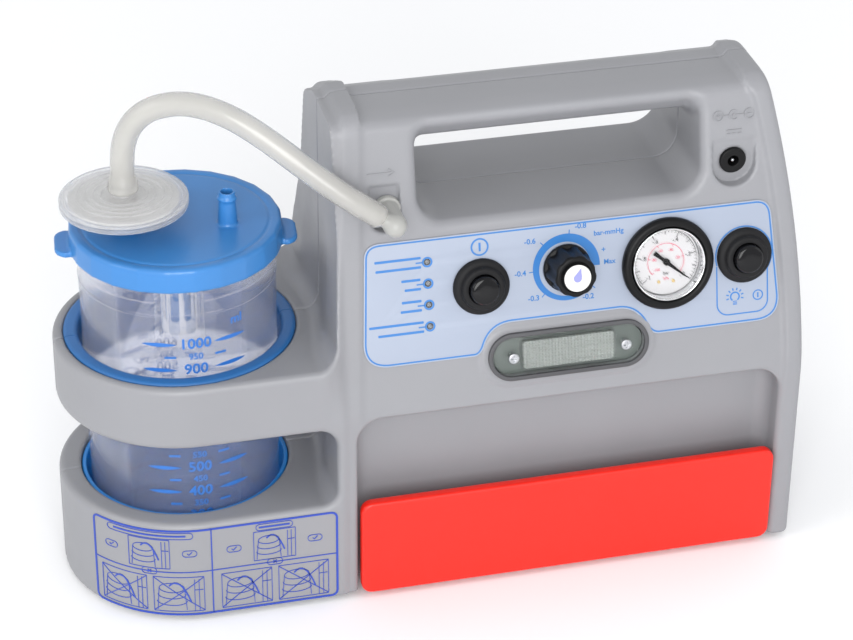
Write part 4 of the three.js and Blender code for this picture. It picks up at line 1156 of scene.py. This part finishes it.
def lamp_screw_field(u, v, n):
    r = np.hypot(u, v)
    head = round_max(r - 2.8, np.maximum(n - 5.2, 3.55 - n), 0.7)
    shank = round_max(r - 1.5, np.maximum(n - 4, -6.6 - n), 0.3)
    return cut(np.minimum(head, shank), np.maximum(cross_slot(u, v, 0.4, 1.6), 4.1 - n), 0.1)


def lamp():
    place = on_panel(LAMP)
    plate("lamp_seal", [stadium_loop(42.2, 12.6), stadium_loop(39.9, 10.3)], 1, 3.2, 0.5, place, SOFT_GREY,
          "lamp_gasket")
    plate("lamp_board", [stadium_loop(39.6, 10)], -9, -1.5, 0.2, place, LAMP_BOARD, "lamp_base")
    moulded("lamp_window", lens_field, (-41, -11.5, -2), (41, 11.5, 6), 0.45, LENS_CLEAR, place=place,
            nodes=["lamp_lens"], smooth=50)
    for node, u in (("lamp_screw_1", -29.6), ("lamp_screw_2", 29.6)):
        moulded(node + "_head", lamp_screw_field, (-4, -4, -7.5), (4, 4, 6.2), 0.25, STEEL,
                place=place @ Matrix.Translation((u, 0, 0)), nodes=[node])
    moulded("lamp_block", block_field, (-26, -9, -2), (26, 9, 3), 0.26, PRISM, place=place, smooth=30)


def status_lamps():
    dome = [(0, -8.8), (1.4, -8.8), (1.4, 0.1, 0.4), (0.9, 0.8, 0.5), (0, 1)]
    for i, v in enumerate(LED_ROWS, 1):
        turned(f"status_lamp_{i}_dome", dome, on_panel((LED_X, v)), FILTER, [f"status_lamp_{i}"], 0.2, 32)


# ---- front pocket, base label, sockets, rear and underside ----------------------------------
FRAMES_MIDDLE_V = 31
FINE_LINE = 0.3


def pocket_field(x, y, z):
    """The pocket's front plate, and the floor that it stands on inside the recess."""
    outline = rounded_box(x, z, (-45.3, 3.3), (177.5, 59.1), 6)
    front_plate = round_max(outline, np.maximum(-67.1 - y, y + 61.1), 1.4)
    floor = np.maximum(rounded_box(x, y, (-39.3, -62.1), (171.5, -47.8), 0.5), np.abs(z - 5.3) - 1.4)
    return round_min(front_plate, floor, 0.8)


def catheter_pocket():
    moulded("catheter_pocket_front", pocket_field, (-47, -69, 1), (180, -45, 61), 0.8, RED,
            nodes=["catheter_pocket"])


def round_the_seat(u, v, n):
    """Bends a flat print round the lower seat, then along the casing's front."""
    along = u + 2.5
    if along < 0:
        return (*polar(JAR_X, 0, LOWER_SEAT_R + n, math.degrees(along / LOWER_SEAT_R) - 90), v)
    swell = (PLATE_FRONT - LOWER_SEAT_R) * float(ease(JAR_X + along, -64, -49))
    return (JAR_X + along, -LOWER_SEAT_R - swell - n, v)


def boxed_picture(marks, u, v, half, crossed=False):
    """A framed drawing of the lidded jar beside the casing, crossed out where it is the wrong way."""
    def at(a, b):
        return (u + half * a, v + half * b)

    corners = rounded_rectangle(u - half, u + half, v - half * 0.82, v + half * 0.82, 0.2, 2)
    marks.line(cut_up(corners), FINE_LINE, closed=True)
    for top, width, height, start in ((0.3, 0.5, 0.22, 180), (0, 0.56, 0.22, 180), (-0.32, 0.6, 0.22, 180),
                                      (0.3, 0.5, 0.24, 0)):
        turns = [math.radians(start + 18 * i) for i in range(11)]
        marks.line([at(-0.28 + width * math.cos(a), top + height * math.sin(a)) for a in turns], FINE_LINE)
    for side in (-1, 1):
        marks.line([at(-0.28 + side * 0.5, 0.3), at(-0.28 + side * 0.58, -0.75)], FINE_LINE)
    steps = [i / 8 for i in range(9)]
    marks.line([at(-0.38 + 0.85 * t, 0.4 + 1.1 * t * (1 - t) - 0.75 * t * t) for t in steps], 0.75)
    for edge in (0.62, 0.8):
        marks.line(straight(at(edge, 0.7), at(edge, -0.8), 4), FINE_LINE)
    marks.line(straight(at(0.62, 0.2), at(0.96, 0.2), 2), FINE_LINE)
    if crossed:
        for rise in (0.8, -0.8):
            marks.line(straight(at(-1, -rise), at(1, rise), 6), 0.4)


def tag(marks, u, v, length, symbol):
    """A round-ended tag, outlined, holding a tick, a cross or a plain bar."""
    loop = rounded_rectangle(u - length / 2, u + length / 2, v - 1.9, v + 1.9, 1.85, 4)
    marks.line(cut_up(loop), FINE_LINE, closed=True)
    if symbol == "tick":
        marks.line([(u - 1.2, v + 0.1), (u - 0.4, v - 0.8), (u + 1.3, v + 1)], 0.5)
    elif symbol == "cross":
        for rise in (0.9, -0.9):
            marks.line([(u - 0.9, v - rise), (u + 0.9, v + rise)], 0.5)
    else:
        marks.line(straight((u - length * 0.42, v), (u + length * 0.42, v), 8), 0.9)


def base_label():
    """Two fields side by side, each with the right way above and two wrong ways below."""
    marks = Print(0, 0.3)
    left, middle, right, low, high = -65.5, -1, 64, 4.6, 56.5
    marks.line(cut_up(rounded_rectangle(left, right, low, high, 3, 5)), 1.1, closed=True)
    marks.line(straight((middle, low), (middle, high), 4), 0.6)
    marks.line(straight((left, FRAMES_MIDDLE_V), (right, FRAMES_MIDDLE_V), 40), 0.5)
    for centre, title in (((left + middle) / 2, 46), ((middle + right) / 2, 19)):
        tag(marks, centre, 53.4, title, "bar")
        tag(marks, centre, 31.2, 8, "cross")
        boxed_picture(marks, centre, 42, 10.8)
        for side in (-1, 1):
            tag(marks, centre + side * 21, 42.5, 7.4, "tick")
            boxed_picture(marks, centre + side * 14.8, 17.2, 13, crossed=True)
    marks.piece("base_label", DARK_INK, bend=round_the_seat)


def dc_socket():
    place = Matrix.Translation((DC_AT[0], -20, DC_AT[1])) @ Matrix.Rotation(math.pi / 2, 4, "X")
    body = [(0, 0), (6.4, 0), (6.4, 15.4, 0.3), (6.9, 16.2, 0.3), (6.9, 17.6, 0.6), (6.2, 17.9, 0.4),
            (2.9, 17.9, 0.4), (2.9, 8.9), (0, 8.9)]
    turned("dc_socket_body", body, place, SATIN_BLACK, ["dc_socket"], 0.3, 64)
    pin = [(0, 9.3), (0.9, 9.3), (0.9, 17, 0.3), (0, 17.4)]
    turned("dc_socket_pin", pin, place, STEEL, ["dc_pin"], 0.2, 24)


def up_the_panel(z):
    return (z - PANEL_BEND_Z) / math.cos(TILT)


def recess_symbols():
    """The raised polarity sign over the DC recess and the flow arrow over the inlet."""
    marks = Print(-0.05, 0.5)
    u, v = DC_AT[0], up_the_panel(242.5)
    for shift in (-8.2, 8.2):
        marks.ring(u + shift, v, 2.5, 0.5, 28)
    for start, end in ((-9.4, -7), (7, 9.4), (-5.7, -2.4), (0.6, 5.7)):
        marks.line([(u + start, v), (u + end, v)], 0.5)
    marks.line([(u - 8.2, v - 1.2), (u - 8.2, v + 1.2)], 0.5)
    marks.line(arc(u, v, 2.4, 45, 315, 20), 0.5)
    marks.ring(u, v, 0.5, 0.6, 12)
    v = up_the_panel(234)
    marks.line([(u - 4, v + 0.9), (u + 4, v + 0.9)], 0.5)
    for shift in (-3, 0, 3):
        marks.line([(u + shift - 0.9, v - 0.9), (u + shift + 0.9, v - 0.9)], 0.5)
    v = up_the_panel(232.6)
    marks.line([(-35, v), (-22, v)], 0.7)
    marks.line([(-24.4, v + 1.8), (-21.4, v), (-24.4, v - 1.8)], 0.7)
    marks.piece("recess_symbols", CASING, PANEL)


def door_field(x, y, z):
    """The battery door with its ribbed finger slot."""
    body = round_max(rounded_box(x, z, (62.2, 12.2), (171.8, 95.8), 6), np.maximum(y - 67.1, 62.5 - y), 0.9)
    body = cut(body, np.maximum(rounded_box(x, z, (105, 82), (129, 89), 3.4), 65.7 - y), 0.5)
    for i in range(6):
        rib = np.maximum(np.abs(z - 72 - 1.6 * i) - 0.4, np.maximum(np.abs(x - 117) - 12, 66.6 - y))
        body = cut(body, rib, 0.2)
    return body


def casing_screw_field(length):
    def field(u, v, n):
        head = round_max(np.hypot(u, v) - 3.65, np.maximum(n - length, -n), 0.6)
        return cut(head, np.maximum(cross_slot(u, v, 0.5, 2.1), length - 1.3 - n), 0.1)
    return field


def rear_and_feet():
    moulded("battery_door_panel", door_field, (60, 60, 10), (174, 69, 98), 0.8, CASING,
            nodes=["battery_door"])
    pad = [(0, 0), (6.5, 0, 0.8), (7.5, 2.2, 0.3), (0, 2.2)]
    for i in range(1, 5):
        low, high = box_mm(f"foot_{i}")
        place = Matrix.Translation(((low.x + high.x) / 2, (low.y + high.y) / 2, 0))
        turned(f"foot_{i}_pad", pad, place, FOOT, [f"foot_{i}"], steps=48)
    for i in range(1, 5):
        low, high = box_mm(f"casing_screw_{i}")
        place = Matrix.Translation(((low.x + high.x) / 2, low.y, (low.z + high.z) / 2))
        length = high.y - low.y
        moulded(f"casing_screw_{i}_head", casing_screw_field(length), (-4.4, -4.4, -0.8),
                (4.4, 4.4, length + 0.8), 0.3, STEEL, place=place @ Matrix.Rotation(-math.pi / 2, 4, "X"),
                nodes=[f"casing_screw_{i}"])


def inner_parts():
    """Finishes for the parts inside the casing, whose shapes stay as they are."""
    finishes = {"battery_pack": BATTERY, "pump_motor": STEEL, "pump_eccentric": BRASS, "pump_head": STEEL,
                "exhaust_silencer": SATIN_BLACK, "suction_tube": HOSE, "status_board": BOARD,
                "regulator_valve": BRASS, "regulator_stem": STEEL}
    for node, finish in finishes.items():
        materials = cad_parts[node].data.materials
        materials.clear()
        materials.append(finish[0])


# ---- floor and light ------------------------------------------------------------------------
def floor():
    reach = 6
    mesh = bpy.data.meshes.new("floor")
    mesh.from_pydata([(-reach, -reach, 0), (reach, -reach, 0), (reach, reach, 0), (-reach, reach, 0)], [],
                     [(0, 1, 2, 3)])
    sheet = bpy.data.objects.new("floor", mesh)
    bpy.context.scene.collection.objects.link(sheet)
    plain = bpy.data.materials.new("floor_paper")
    plain.use_nodes = True
    shader = plain.node_tree.nodes["Principled BSDF"]
    shader.inputs["Base Color"].default_value = (0.94, 0.94, 0.95, 1)
    shader.inputs["Roughness"].default_value = 0.75
    mesh.materials.append(plain)


def soft_light(name, location, size, power):
    data = bpy.data.lights.new(name, "AREA")
    data.size = size
    data.energy = power
    light = bpy.data.objects.new(name, data)
    bpy.context.scene.collection.objects.link(light)
    light.location = location
    light.rotation_euler = (Vector((0, 0, 0.1)) - Vector(location)).to_track_quat("-Z", "Y").to_euler()


def surroundings(strength):
    world = bpy.data.worlds.new("studio")
    bpy.context.scene.world = world
    world.use_nodes = True
    background = world.node_tree.nodes["Background"]
    background.inputs["Color"].default_value = (0.98, 0.99, 1, 1)
    background.inputs["Strength"].default_value = strength


# ---- the whole scene, camera and hose first -------------------------------------------------
camera()
hose()
shells()
seat_liners()
seat_cup()
jar_wall()
graduations()
lid()
filter_disc()
cage_and_float()
elbow()
panel_film()
panel_prints()
knob_scale()
push_button("power", POWER)
push_button("light", LIGHT)
regulator()
gauge()
lamp()
status_lamps()
catheter_pocket()
base_label()
dc_socket()
recess_symbols()
rear_and_feet()
inner_parts()

floor()
surroundings(0.85)
soft_light("front_light", (-0.5, -2.4, 1.1), 1.6, 52)
soft_light("left_light", (-2.3, -0.6, 1.5), 1.4, 16)
soft_light("right_light", (2.3, -0.9, 1.3), 1.4, 6)
bpy.context.scene.view_settings.view_transform = "Standard"
